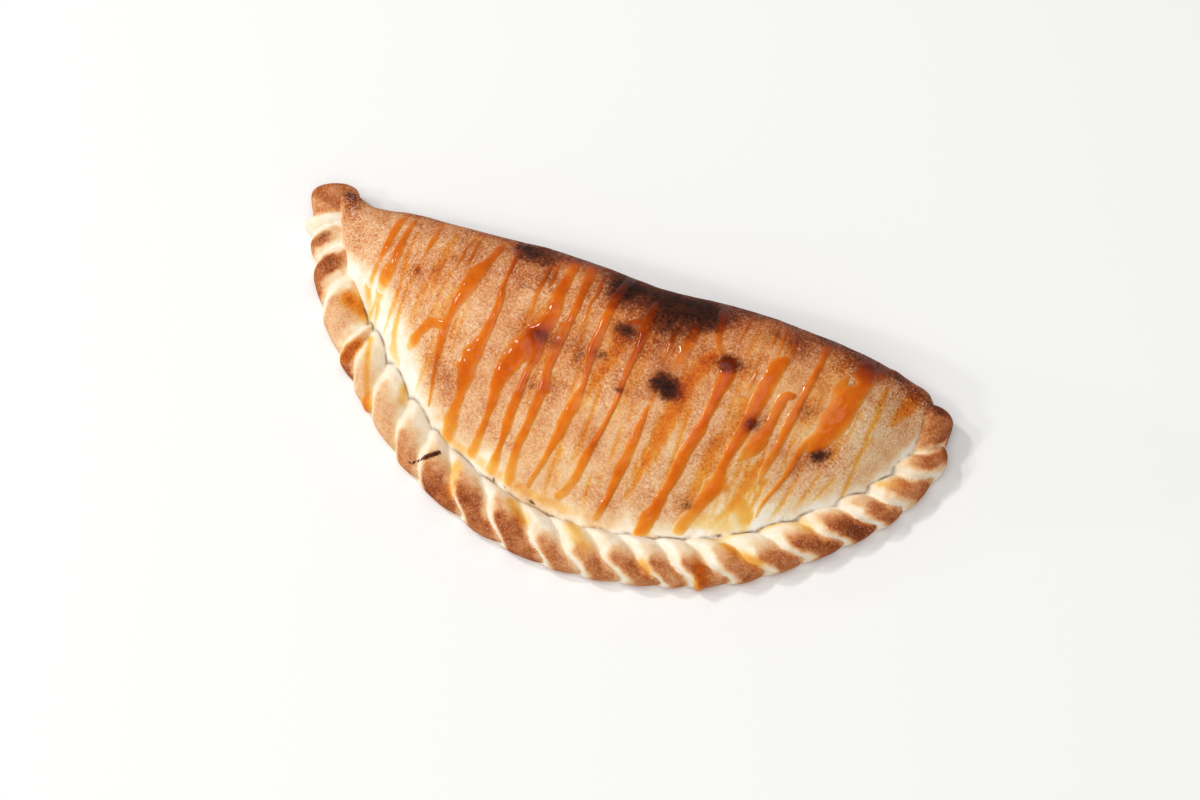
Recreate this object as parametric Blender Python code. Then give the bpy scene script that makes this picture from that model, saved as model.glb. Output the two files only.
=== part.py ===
"""Calzone: one round of dough, filled, folded over and baked, with a rope-like twisted edge.

The belly is a loft of upright sections between the twisted edge and the fold. The twisted edge is a
tube along the curved rim, ridged by the slanted strands of the crimp. The two are united into one
solid, and its underside is cut flat where the dough lay on the oven floor.
+X runs along the fold, +Y points to the folded back, +Z is up. The origin is on the underside, in the
middle of the part's length and depth. Lengths in this file are in millimetres, and the meshes in metres.
"""

import math

import bmesh
import bpy
import numpy as np

MM = 0.001

# The rim: the middle line of the twisted edge in plan, from the left knob round the front to the right tip.
RIM_PATH = ((-138, 10), (-129, -12), (-111, -42), (-77, -73), (-40, -96), (14, -105.5), (76, -88), (121, -49),
            (138, -20), (138.5, -6), (137, 8))
RIM_STEPS = 150
RIM_FINE_STEPS = 400

# The fold: the farthest reach of the folded back in plan, and the height of the crest above the table.
FOLD_LINE = ((-142, 7), (-133, 9.5), (-127, 8), (-120, 4.8), (-110, 4.6), (-97, 6.6), (-75, 7.4), (-50, 9.8),
             (-25, 11), (0, 10.2), (15, 9.6), (41, 11.8), (65, 13.8), (89, 14.6), (113, 14.2), (125, 13.4),
             (132, 12), (141, 6))
CREST_LINE = ((-142, 10), (-126, 16), (-108, 24.5), (-84, 32.5), (-60, 39), (0, 47), (60, 49.5), (100, 43),
              (115, 35), (124, 26.5), (131, 17.5), (140, 10))

BELLY_SECTIONS = 58
BELLY_START = -135.0
BELLY_END = 138.0
TOP_STEPS = 14
ROUND_STEPS = 6
SEAM_HEIGHT = 5.0
SLOPE_EASE = 1.2
FOLD_ROUND_SHARE = 0.36
FOLD_ROUND_LIMIT = 26.0
FOLD_MIDDLE_SHARE = 0.45
FOOT_ROUND_SHARE = 0.30

# The twisted edge.
EDGE_HALF_WIDTH = 10.8
EDGE_HALF_HEIGHT = 7.6
EDGE_MIDDLE_HEIGHT = 6.4
EDGE_POINTS_AROUND = 16
EDGE_TIP_LENGTH = 8.0
STRAND_PITCH = 15.9
STRAND_SLANT = 15.0
STRAND_FIRST_GROOVE = 11.0
STRAND_DEPTH = 0.16
STRAND_CREST = 0.38

# The part reaches this far below the table before its underside is cut flat.
SUNK = 2.0
TABLE_SIZE = 400.0
TABLE_THICKNESS = 30.0

SMOOTH_ANGLE = math.radians(50)
CRUST_COLOUR = (0.61, 0.33, 0.16, 1.0)
CRUST_ROUGHNESS = 0.55


def clear_scene():
    """Removes every object of the scene that is open."""
    for item in list(bpy.data.objects):
        bpy.data.objects.remove(item, do_unlink=True)


def smooth_line(points, steps):
    """Reads a Catmull-Rom curve through the points, with the given number of steps between them."""
    knots = np.array(points, float)
    knots = np.vstack([2 * knots[0] - knots[1], knots, 2 * knots[-1] - knots[-2]])
    t = np.linspace(0, 1, steps, endpoint=False)[:, None]
    spans = []
    for before, start, end, after in zip(knots, knots[1:], knots[2:], knots[3:]):
        spans.append(0.5 * (2 * start + (end - before) * t
                            + (2 * before - 5 * start + 4 * end - after) * t ** 2
                            + (3 * start - before - 3 * end + after) * t ** 3))
    return np.vstack(spans + [knots[-2:-1]])


def height_at(line, x):
    """Reads the second coordinate of a smooth line at x."""
    curve = smooth_line(line, 12)
    return float(np.interp(x, curve[:, 0], curve[:, 1]))


def rim_stations(count):
    """Spreads stations evenly along the rim: places, directions, and distances from the start."""
    curve = smooth_line(RIM_PATH, 40)
    lengths = np.hypot(*np.diff(curve, axis=0).T)
    distance = np.concatenate([[0], np.cumsum(lengths)])
    wanted = np.linspace(0, distance[-1], count)
    places = np.stack([np.interp(wanted, distance, curve[:, axis]) for axis in (0, 1)], axis=1)
    ways = np.gradient(places, axis=0)
    return places, ways / np.linalg.norm(ways, axis=1)[:, None], wanted


def belly_section(x, seam_y):
    """Makes the closed outline of the belly at x: over the top from the seam, round the fold, and back."""
    fold_y = height_at(FOLD_LINE, x)
    crest = height_at(CREST_LINE, x)
    width = fold_y - seam_y
    bulge = min(FOLD_ROUND_SHARE * width, FOLD_ROUND_LIMIT)
    middle = FOLD_MIDDLE_SHARE * crest
    seam_height = min(SEAM_HEIGHT, 0.5 * crest)
    outline = [(seam_y, seam_height)]
    for step in range(1, TOP_STEPS):
        share = step / TOP_STEPS
        rise = math.sin(share ** SLOPE_EASE * math.pi / 2)
        outline.append((seam_y + share * (width - bulge), seam_height + (crest - seam_height) * rise))
    for step in range(ROUND_STEPS + 1):
        turn = math.pi / 2 * (1 - step / ROUND_STEPS)
        outline.append((fold_y - bulge * (1 - math.cos(turn)), middle + (crest - middle) * math.sin(turn)))
    foot = min(FOOT_ROUND_SHARE * width, middle)
    for step in range(1, ROUND_STEPS + 1):
        turn = math.pi / 2 * step / ROUND_STEPS
        outline.append((fold_y - foot * (1 - math.cos(turn)), middle - (middle + SUNK) * math.sin(turn)))
    outline.append((seam_y, -SUNK))
    return [(x, y, z) for y, z in outline]


def belly_rings():
    """Makes the belly's sections, closer together towards both ends, where the outline turns fastest."""
    rim, _, _ = rim_stations(RIM_FINE_STEPS)
    front = rim[:int(np.argmax(rim[:, 0])) + 1]
    middle = (BELLY_START + BELLY_END) / 2
    reach = (BELLY_END - BELLY_START) / 2
    rings = []
    for step in range(BELLY_SECTIONS + 1):
        x = middle - reach * math.cos(math.pi * step / BELLY_SECTIONS)
        rings.append(belly_section(x, float(np.interp(x, front[:, 0], front[:, 1]))))
    return np.array(rings)


def strand_swell(distance, around):
    """Says how far a strand stands out of the edge there, from 0 in a groove to 1 on its crest."""
    across = math.cos(around)
    phase = ((distance + STRAND_SLANT * across / 2 - STRAND_FIRST_GROOVE) / STRAND_PITCH) % 1.0
    if phase < STRAND_CREST:
        return math.sin(math.pi / 2 * phase / STRAND_CREST)
    return math.cos(math.pi / 2 * (phase - STRAND_CREST) / (1 - STRAND_CREST))


def edge_rings():
    """Makes the sections of the twisted edge, with its strands and its two rounded ends."""
    places, ways, distances = rim_stations(RIM_STEPS)
    total = distances[-1]
    rings = []
    for place, way, distance in zip(places, ways, distances):
        from_end = min(distance, total - distance, EDGE_TIP_LENGTH) / EDGE_TIP_LENGTH
        size = max(math.sqrt(1 - (1 - from_end) ** 2), 0.12)
        inward = np.array([-way[1], way[0]])
        ring = []
        for corner in range(EDGE_POINTS_AROUND):
            around = 2 * math.pi * corner / EDGE_POINTS_AROUND
            swell = 1 - STRAND_DEPTH * (1 - strand_swell(distance, around))
            plan = place + inward * EDGE_HALF_WIDTH * size * swell * math.cos(around)
            height = EDGE_MIDDLE_HEIGHT + EDGE_HALF_HEIGHT * size * swell * math.sin(around)
            ring.append((plan[0], plan[1], height))
        rings.append(ring)
    return np.array(rings)


def loft(name, rings, collection, material):
    """Joins rings of equal count into one closed object, with a flat cap on each end."""
    shape = bmesh.new()
    rows = [[shape.verts.new(point * MM) for point in ring] for ring in rings]
    for row, following in zip(rows, rows[1:]):
        for index in range(len(row)):
            after = (index + 1) % len(row)
            shape.faces.new((row[index], row[after], following[after], following[index]))
    shape.faces.new(rows[0][::-1])
    shape.faces.new(rows[-1])
    bmesh.ops.recalc_face_normals(shape, faces=shape.faces[:])
    mesh = bpy.data.meshes.new(name)
    shape.to_mesh(mesh)
    shape.free()
    mesh.materials.append(material)
    item = bpy.data.objects.new(name, mesh)
    collection.objects.link(item)
    return item


def as_tool(item):
    """Marks an object as one that only shapes another."""
    item.hide_render = True
    item.display_type = "WIRE"


def add_table(collection):
    """Adds the block that cuts the underside flat."""
    bpy.ops.mesh.primitive_cube_add(size=1, location=(0, 0, -TABLE_THICKNESS / 2 * MM))
    table = bpy.context.object
    table.name = "table_cut"
    table.scale = (TABLE_SIZE * MM, TABLE_SIZE * MM, TABLE_THICKNESS * MM)
    for holder in list(table.users_collection):
        holder.objects.unlink(table)
    collection.objects.link(table)
    return table


def combine(item, tool, operation):
    """Adds an exact Boolean modifier to the object."""
    step = item.modifiers.new(f"{operation.lower()}_{tool.name}", "BOOLEAN")
    step.operation = operation
    step.solver = "EXACT"
    step.object = tool


def crust_material():
    """Makes the baked crust's plain material."""
    material = bpy.data.materials.new("crust")
    material.use_nodes = True
    shader = material.node_tree.nodes["Principled BSDF"]
    shader.inputs["Base Color"].default_value = CRUST_COLOUR
    shader.inputs["Roughness"].default_value = CRUST_ROUGHNESS
    shader.inputs["Metallic"].default_value = 0.0
    return material


def main():
    """Builds the calzone in a collection of its own, and the shapes that make it in another."""
    clear_scene()
    parts = bpy.data.collections.new("calzone")
    tools = bpy.data.collections.new("shaping_tools")
    for collection in (parts, tools):
        bpy.context.scene.collection.children.link(collection)
    belly = belly_rings()
    edge = edge_rings()
    points = np.vstack([belly.reshape(-1, 3), edge.reshape(-1, 3)])
    centre = (points.min(axis=0) + points.max(axis=0)) / 2 * (1, 1, 0)
    crust = crust_material()
    calzone = loft("calzone", belly - centre, parts, crust)
    rope = loft("twisted_edge", edge - centre, tools, crust)
    table = add_table(tools)
    as_tool(rope)
    as_tool(table)
    combine(calzone, rope, "UNION")
    combine(calzone, table, "DIFFERENCE")
    calzone.data.shade_smooth()
    calzone.data.set_sharp_from_angle(angle=SMOOTH_ANGLE)


main()
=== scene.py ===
"""The looks of a baked calzone: floury toasted crust, a twisted crimped edge and streaks of orange sauce.

The calzone is drawn in millimetres with +X along the fold, -Y towards the crimped edge and +Z up. The
finished pieces are metres in the frame's coordinates, on the frame's own middle.
"""

from __future__ import annotations

import logging
import math
from collections.abc import Iterable
from dataclasses import dataclass
from enum import Enum
from functools import cached_property, reduce

import bpy
import numpy as np
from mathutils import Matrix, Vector
from mathutils.bvhtree import BVHTree


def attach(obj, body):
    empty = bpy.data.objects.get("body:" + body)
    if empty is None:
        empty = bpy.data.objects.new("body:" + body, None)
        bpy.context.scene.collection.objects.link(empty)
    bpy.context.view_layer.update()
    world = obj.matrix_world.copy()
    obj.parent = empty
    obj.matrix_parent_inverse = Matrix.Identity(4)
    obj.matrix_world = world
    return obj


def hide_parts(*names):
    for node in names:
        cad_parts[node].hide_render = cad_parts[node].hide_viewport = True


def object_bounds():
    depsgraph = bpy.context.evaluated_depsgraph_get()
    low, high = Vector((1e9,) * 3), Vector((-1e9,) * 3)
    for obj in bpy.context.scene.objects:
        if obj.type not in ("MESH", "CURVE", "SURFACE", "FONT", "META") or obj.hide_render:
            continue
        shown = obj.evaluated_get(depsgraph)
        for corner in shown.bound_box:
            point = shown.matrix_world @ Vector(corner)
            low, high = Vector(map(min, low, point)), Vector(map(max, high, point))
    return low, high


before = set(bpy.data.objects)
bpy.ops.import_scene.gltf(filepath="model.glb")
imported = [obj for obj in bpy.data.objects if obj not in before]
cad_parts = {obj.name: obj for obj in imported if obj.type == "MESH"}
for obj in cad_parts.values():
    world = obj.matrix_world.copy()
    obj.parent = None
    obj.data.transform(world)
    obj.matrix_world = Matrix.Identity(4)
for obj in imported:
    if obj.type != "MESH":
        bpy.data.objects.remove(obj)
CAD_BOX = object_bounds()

LOG = logging.getLogger("calzone")
MM = 0.001
BODY = "root"
NODE = "calzone"
# The middle of the calzone's box in the drawing's own coordinates.
DRAWING_MIDDLE = (2.1, -50.9)

# The bake map: its name, its bare edge, and how much of its width and height is used.
BAKE_MAP = "OFBake"
MAP_EDGE = 0.005
MAP_SIZE = 0.99
# The bare share of each strip of the map, over and under its rings.
STRIP_MARGIN = 0.01

Colour = tuple[float, float, float]
Stops = tuple[tuple[float, Colour], ...]
Place = tuple[float, float]
# Layers of noise, each given as its strength, its size in millimetres and its seed.
Layers = tuple[tuple[float, float, int], ...]


class Slot(Enum):
    """The record's material slots."""

    CRUST = "crust"
    GLAZE = "glaze"


# ----------------------------------------
# Numbers: smooth lines, smooth steps and seeded grain
# ----------------------------------------


def smooth_step(value: np.ndarray, start: float, end: float) -> np.ndarray:
    """Rises smoothly from 0 at start to 1 at end.

    Args:
        value: Where to read it.
        start: Where the rise begins.
        end: Where it is complete. It may be smaller than start, for a fall.

    Returns:
        The heights of the step, from 0 to 1.
    """
    share = np.clip((np.asarray(value, float) - start) / (end - start), 0.0, 1.0)
    return share * share * (3 - 2 * share)


def bell(value: np.ndarray, width: float) -> np.ndarray:
    """Gives a bell curve of the given half-width, 1 in its middle."""
    return np.exp(-(np.asarray(value, float) / width) ** 2)


def strongest(layers: Iterable[np.ndarray]) -> np.ndarray:
    """Keeps the strongest of several layers at each place, and at least 0."""
    return reduce(np.maximum, layers, 0.0)


def smooth_curve(knots: np.ndarray, steps: int) -> np.ndarray:
    """Reads a smooth curve through knots of any number of coordinates.

    Args:
        knots: The knots, one in each row.
        steps: How many points to read from each knot to the next.

    Returns:
        The curve's points, one in each row.
    """
    knots = np.vstack([2 * knots[0] - knots[1], knots, 2 * knots[-1] - knots[-2]])
    t = np.linspace(0, 1, steps, endpoint=False)[:, None]
    spans = []
    for before, start, end, after in zip(knots, knots[1:], knots[2:], knots[3:]):
        spans.append(0.5 * (2 * start + (end - before) * t
                            + (2 * before - 5 * start + 4 * end - after) * t ** 2
                            + (3 * start - before - 3 * end + after) * t ** 3))
    return np.vstack(spans + [knots[-2:-1]])


@dataclass(frozen=True)
class SmoothLine:
    """A smooth line through a few chosen places."""

    places: tuple[Place, ...]
    steps: int = 24

    def curve(self) -> np.ndarray:
        """Reads the whole line, one point in each row."""
        return smooth_curve(np.array(self.places, float), self.steps)

    def at(self, value: np.ndarray) -> np.ndarray:
        """Reads the second coordinate where the first has the given values."""
        curve = self.curve()
        return np.interp(value, curve[:, 0], curve[:, 1])


@dataclass(frozen=True)
class Grain:
    """Seeded smooth noise in space, from about -1 to 1."""

    size: float
    seed: int
    # Large odd numbers that stir a lattice corner's three places and the seed, and the shifts and factors
    # of the two rounds of mixing after that.
    PLACE_FACTORS = (73856093, 19349663, 83492791)
    SEED_FACTOR = 2654435761
    ROUNDS = ((15, 2246822519), (13, 3266489917))
    LAST_SHIFT = 16
    WORD = 0xFFFFFFFF

    def _corner(self, cell: np.ndarray) -> np.ndarray:
        """Gives each lattice corner its own fixed random value."""
        first, second, third = (cell[..., axis] * factor for axis, factor in enumerate(self.PLACE_FACTORS))
        mixed = (first ^ second ^ third ^ (self.seed * self.SEED_FACTOR)) & self.WORD
        for shift, factor in self.ROUNDS:
            mixed = ((mixed ^ (mixed >> shift)) * factor) & self.WORD
        return ((mixed ^ (mixed >> self.LAST_SHIFT)) & self.WORD) / (self.WORD // 2) - 1.0

    def at(self, points: np.ndarray) -> np.ndarray:
        """Reads the noise.

        Args:
            points: Places in millimetres, with one to three numbers each in the last axis.

        Returns:
            The noise at each place.
        """
        points = np.asarray(points, float) / self.size
        missing = 3 - points.shape[-1]
        points = np.concatenate([points, np.zeros(points.shape[:-1] + (missing,))], axis=-1)
        cell = np.floor(points).astype(np.int64)
        share = points - cell
        share = share * share * (3 - 2 * share)
        total = np.zeros(points.shape[:-1])
        for corner in np.ndindex(2, 2, 2):
            weight = np.ones(points.shape[:-1])
            for axis, side in enumerate(corner):
                weight = weight * (share[..., axis] if side else 1 - share[..., axis])
            total = total + weight * self._corner(cell + np.array(corner))
        return total


def grains(points: np.ndarray, layers: Layers) -> np.ndarray:
    """Adds up layers of noise at places in millimetres."""
    return sum(strength * Grain(size, seed).at(points) for strength, size, seed in layers)


# ----------------------------------------
# Meshes
# ----------------------------------------


@dataclass
class MeshPlan:
    """A mesh before it becomes an object: points in millimetres, faces, bake map and point values."""

    name: str
    points: np.ndarray
    faces: list[tuple[int, ...]]
    uvs: list[Place]
    values: dict[str, np.ndarray]

    def face_out(self) -> MeshPlan:
        """Turns the closed mesh's faces over if they face inwards.

        Returns:
            The plan itself.
        """
        corners = self.points[np.array([face[:3] for face in self.faces])]
        volume = np.einsum("ij,ij->i", corners[:, 0], np.cross(corners[:, 1], corners[:, 2])).sum()
        if volume <= 0:
            turned, start = [], 0
            for face in self.faces:
                turned += self.uvs[start:start + len(face)][::-1]
                start += len(face)
            self.faces, self.uvs = [face[::-1] for face in self.faces], turned
        return self

    def build(self) -> bpy.types.Object:
        """Makes the object in the frame's coordinates.

        Returns:
            The new object, smooth shaded, with its bake map and point values.
        """
        low, high = (Vector(corner) for corner in CAD_BOX)
        middle = (low + high) / 2
        shift = np.array([middle.x - DRAWING_MIDDLE[0] * MM, middle.y - DRAWING_MIDDLE[1] * MM, low.z])
        mesh = bpy.data.meshes.new(self.name)
        mesh.from_pydata((self.points * MM + shift).tolist(), [], self.faces)
        layer = mesh.uv_layers.new(name=BAKE_MAP)
        layer.data.foreach_set("uv", np.array(self.uvs, np.float32).ravel())
        for name, values in self.values.items():
            attribute = mesh.attributes.new(name, "FLOAT", "POINT")
            attribute.data.foreach_set("value", np.asarray(values, np.float32).ravel())
        mesh.shade_smooth()
        mesh.update()
        item = bpy.data.objects.new(self.name, mesh)
        bpy.context.scene.collection.objects.link(item)
        return item


def ring_skin(name: str, points: np.ndarray, values: dict[str, np.ndarray], bands: int = 1) -> MeshPlan:
    """Plans a closed skin over rings of points, with a cap on each end.

    Args:
        name: The mesh's name.
        points: The points by ring and place in the ring.
        values: The point values, in the same order.
        bands: Into how many strips, one above another, the bake map is cut along the rings.

    Returns:
        The plan, facing out.
    """
    rings, around = points.shape[:2]
    faces, uvs = [], []
    rows_per_band = math.ceil((rings - 1) / bands)
    band_height = MAP_SIZE / bands

    def map_place(row: int, column: int, band: int) -> Place:
        """Finds where a ring's point lies on the map."""
        return (MAP_EDGE + MAP_SIZE * (row - band * rows_per_band) / rows_per_band,
                MAP_EDGE + band_height * (band + (1 - 2 * STRIP_MARGIN) * column / around + STRIP_MARGIN))

    for row in range(rings - 1):
        band = row // rows_per_band
        for column in range(around):
            after = (column + 1) % around
            faces.append((row * around + column, row * around + after,
                          (row + 1) * around + after, (row + 1) * around + column))
            uvs += [map_place(row, column, band), map_place(row, column + 1, band),
                    map_place(row + 1, column + 1, band), map_place(row + 1, column, band)]
    faces.append(tuple(range(around))[::-1])
    uvs += [map_place(0, column, 0) for column in range(around)][::-1]
    last = (rings - 1) * around
    faces.append(tuple(range(last, last + around)))
    uvs += [map_place(rings - 1, column, bands - 1) for column in range(around)]
    flat_values = {key: value.ravel() for key, value in values.items()}
    return MeshPlan(name, points.reshape(-1, 3), faces, uvs, flat_values).face_out()


def grid_normals(points: np.ndarray) -> np.ndarray:
    """Works out the unit normals of a grid of points, whose rows run along x and columns front to back."""
    normals = np.cross(np.gradient(points, axis=0), np.gradient(points, axis=1))
    return normals / np.maximum(np.linalg.norm(normals, axis=2, keepdims=True), 1e-9)


# ----------------------------------------
# The form of the dough
# ----------------------------------------


@dataclass(frozen=True)
class Rim:
    """The middle line of the twisted edge in plan, from the left knob round the front to the right tip."""

    line: SmoothLine = SmoothLine(((-138, 10), (-129, -12), (-111, -42), (-77, -73), (-40, -96), (14, -105.5),
                                   (76, -88), (121, -49), (138, -20), (138.2, -6), (135.8, 9.4)), 60)
    # Into how many places the line is cut to find the nearest, and for how many points at a time.
    search_steps: int = 500
    search_batch: int = 4000

    def _measured(self) -> tuple[np.ndarray, np.ndarray]:
        """Reads the line's points and their distances from its start."""
        curve = self.line.curve()
        return curve, np.concatenate([[0], np.cumsum(np.hypot(*np.diff(curve, axis=0).T))])

    @property
    def length(self) -> float:
        """The line's whole length."""
        return float(self._measured()[1][-1])

    def stations(self, distances: np.ndarray) -> tuple[np.ndarray, np.ndarray]:
        """Finds places on the line.

        Args:
            distances: How far along it they are.

        Returns:
            The places, and the unit directions from them towards the belly.
        """
        curve, measured = self._measured()
        places = np.stack([np.interp(distances, measured, curve[:, axis]) for axis in (0, 1)], axis=-1)
        ways = np.gradient(places, axis=0)
        ways /= np.linalg.norm(ways, axis=1)[:, None]
        return places, np.stack([-ways[:, 1], ways[:, 0]], axis=-1)

    def front_at(self, x: float) -> float:
        """Finds how far forward the line lies at x."""
        curve = self.line.curve()
        front = curve[:int(np.argmax(curve[:, 0])) + 1]
        return float(np.interp(x, front[:, 0], front[:, 1]))

    def along(self, points: np.ndarray) -> np.ndarray:
        """Finds how far along the line lie the places in plan nearest to it."""
        distances = np.linspace(0, self.length, self.search_steps)
        places, _ = self.stations(distances)
        batches = np.array_split(points, len(points) // self.search_batch + 1)
        nearest = [np.argmin(((batch[:, None] - places) ** 2).sum(axis=2), axis=1) for batch in batches]
        return distances[np.concatenate(nearest)]


@dataclass(frozen=True)
class BellyForm:
    """The domed belly, as upright sections from the seam over the crest and round the fold to the foot.

    A place on it is its x and its share of the way: 0 at the seam, 1 at the fold's farthest reach and
    FOOT_SHARE where the back meets the table. In plan, fold is the line of the fold's farthest reach, and
    crest the height of the crest by x.
    """

    rim: Rim = Rim()
    fold: SmoothLine = SmoothLine((
        (-142, 7), (-133, 9.5), (-127, 8), (-120, 4.8), (-110, 4.6), (-97, 6.6), (-75, 7.4), (-50, 9.8),
        (-25, 11), (0, 10.2), (15, 9.6), (41, 11.8), (65, 13.8), (89, 14.6), (113, 14.2), (125, 14.2),
        (131, 14.0), (135, 11.6), (141, 4)))
    crest: SmoothLine = SmoothLine((
        (-142, 10), (-126, 16), (-108, 24), (-84, 32), (-60, 38), (0, 46), (60, 48), (100, 42), (115, 34.8),
        (124, 27), (131, 21), (135, 17.5), (140, 10)))
    start: float = -134.0
    end: float = 138.0
    seam_height: float = 4.5
    slope_ease: float = 1.2
    bulge_share: float = 0.36
    bulge_limit: float = 26.0
    middle_share: float = 0.45
    foot_share_of_width: float = 0.30
    swells: Layers = ((1.1, 46, 11), (0.45, 19, 12), (0.20, 8, 13), (0.07, 3.2, 14))
    blisters: Grain = Grain(6.5, 15)
    blister_height: float = 0.9
    # Over how many millimetres the unevenness fades in at both ends.
    end_fade: float = 12.0
    FOOT_SHARE = 1.3

    def outline(self, x: float) -> np.ndarray:
        """Draws the section at x densely.

        Args:
            x: Where the section is.

        Returns:
            Three columns: shares of the way, and y and z there.
        """
        fold, crest, seam = float(self.fold.at(x)), float(self.crest.at(x)), self.rim.front_at(x)
        width = fold - seam
        bulge = min(self.bulge_share * width, self.bulge_limit)
        middle = self.middle_share * crest
        foot = min(self.foot_share_of_width * width, middle)
        base = min(self.seam_height, 0.5 * crest)
        share = np.linspace(0, 1, 60)
        rise = np.sin(share ** self.slope_ease * math.pi / 2)
        top = np.stack([seam + share * (width - bulge), base + (crest - base) * rise], axis=1)
        turn = np.linspace(0, math.pi / 2, 30)[1:]
        sin, cos = np.sin(turn), np.cos(turn)
        shoulder = np.stack([fold - bulge * (1 - sin), middle + (crest - middle) * cos], axis=1)
        under = np.stack([fold - foot * (1 - cos), middle * (1 - sin)], axis=1)
        upper, lower = np.vstack([top, shoulder]), np.vstack([shoulder[-1:], under])
        spans = []
        for run, low, high in ((upper, 0.0, 1.0), (lower, 1.0, self.FOOT_SHARE)):
            length = np.concatenate([[0], np.cumsum(np.hypot(*np.diff(run, axis=0).T))])
            spans.append(np.column_stack([low + (high - low) * length / length[-1], run]))
        return np.vstack([spans[0], spans[1][1:]])

    def run(self, x: np.ndarray) -> np.ndarray:
        """Measures the way from the seam to the fold at each x, in millimetres."""
        outlines = [self.outline(float(value)) for value in x]
        return np.array([np.hypot(*np.diff(outline[outline[:, 0] <= 1.0][:, 1:], axis=0).T).sum()
                         for outline in outlines])

    def relief(self, points: np.ndarray) -> np.ndarray:
        """Says how far the baked skin stands out or sinks in, in millimetres."""
        flat = points * (1, 1, 0.6)
        blisters = np.clip(self.blisters.at(flat) - 0.35, 0, 1) ** 1.5
        return grains(flat, self.swells) + self.blister_height * blisters

    def surface(self, x: np.ndarray, shares: np.ndarray) -> tuple[np.ndarray, np.ndarray]:
        """Finds the belly's real skin.

        Args:
            x: The sections.
            shares: The shares of the way in each section.

        Returns:
            Points and unit normals, by section and share.
        """
        points = np.empty((len(x), len(shares), 3))
        for row, value in enumerate(x):
            outline = self.outline(value)
            points[row, :, 0] = value
            for axis in (1, 2):
                points[row, :, axis] = np.interp(shares, outline[:, 0], outline[:, axis])
        fade = smooth_step(x, self.start, self.start + self.end_fade)
        fade = fade * smooth_step(x, self.end, self.end - self.end_fade)
        depth = self.relief(points) * fade[:, None] * smooth_step(points[..., 2], 0.5, 6.0)
        points = points + grid_normals(points) * depth[..., None]
        return points, grid_normals(points)


@dataclass(frozen=True)
class Strand:
    """One strand of the crimp, by the groove on its left side.

    inner and outer are where that groove starts at the seam and ends at the rim, along the rim's line.
    toast is how brown its back is, reach how far the brown comes towards the seam, lift how much
    higher than its neighbours it stands, nose how far its inner end lies over the belly, bulge how far
    its outer side stands out, and pale how much wider its pale left flank is.
    """

    inner: float
    outer: float
    toast: float = 0.8
    reach: float = 0.6
    lift: float = 0.0
    nose: float = 0.0
    bulge: float = 0.0
    pale: float = 0.0


STRANDS: tuple[Strand, ...] = (
    Strand(-16, -18, 0.86, 1.2, lift=0.8, bulge=1.6), Strand(13, 15.5, 0.06, 0.5, lift=-0.3, bulge=2.8),
    Strand(17.5, 21.5, 0.8, 0.5, lift=-0.4, bulge=0.6), Strand(26.5, 34, 0.9, 0.9, nose=0.2),
    Strand(40.5, 52, 0.56, 1.1, lift=0.5, nose=1.2, pale=3), Strand(70.5, 75, 0.9, 0.9, lift=-0.6),
    Strand(73, 87, 0.45, 0.5, lift=0.8, nose=1.2), Strand(89.5, 103.5, 0.5, 0.5, lift=0.8, nose=1.2),
    Strand(109, 123, 0.68, 0.4, lift=0.2, nose=0.8), Strand(127.5, 138, 0.88, 0.6, nose=0.4),
    Strand(141.5, 160, 0.86, 0.8, lift=0.4, nose=0.4), Strand(161, 179, 0.92, 0.7, lift=0.2, nose=0.2),
    Strand(182, 197.5, 0.76, 0.3), Strand(197.5, 212.5, 0.76, 0.4), Strand(214, 228.5, 0.74, 0.6, lift=0.3),
    Strand(228.5, 244, 0.76, 0.6, lift=0.2), Strand(244, 255.5, 0.84, 0.5, lift=0.2),
    Strand(257, 271, 0.78, 0.7, lift=0.3), Strand(273, 285.5, 0.74, 0.5),
    Strand(288.5, 301.5, 0.92, 0.5, lift=0.3), Strand(304.5, 319, 0.96, 0.6, lift=0.3),
    Strand(322, 334, 0.9, 0.6, lift=0.2, nose=0.2), Strand(336, 346.5, 0.74, 0.6),
    Strand(350, 363, 0.9, 0.7, lift=0.4), Strand(363, 375, 1, 0.8, lift=0.6, pale=-2.5),
    Strand(402, 416, 0.9, 0.8),
)


@dataclass(frozen=True)
class EdgePlaces:
    """Places on the twisted edge.

    along and across are their distances along the rim and from its middle line towards the belly, number is
    the strand that covers them, phase the share of the way from its left groove to its right one, and width
    its width there.
    """

    along: np.ndarray
    across: np.ndarray
    number: np.ndarray
    phase: np.ndarray
    width: np.ndarray

    def of_strand(self, name: str) -> np.ndarray:
        """Looks up one of the strands' own values at each place."""
        return np.array([getattr(strand, name) for strand in STRANDS])[self.number]


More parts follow.
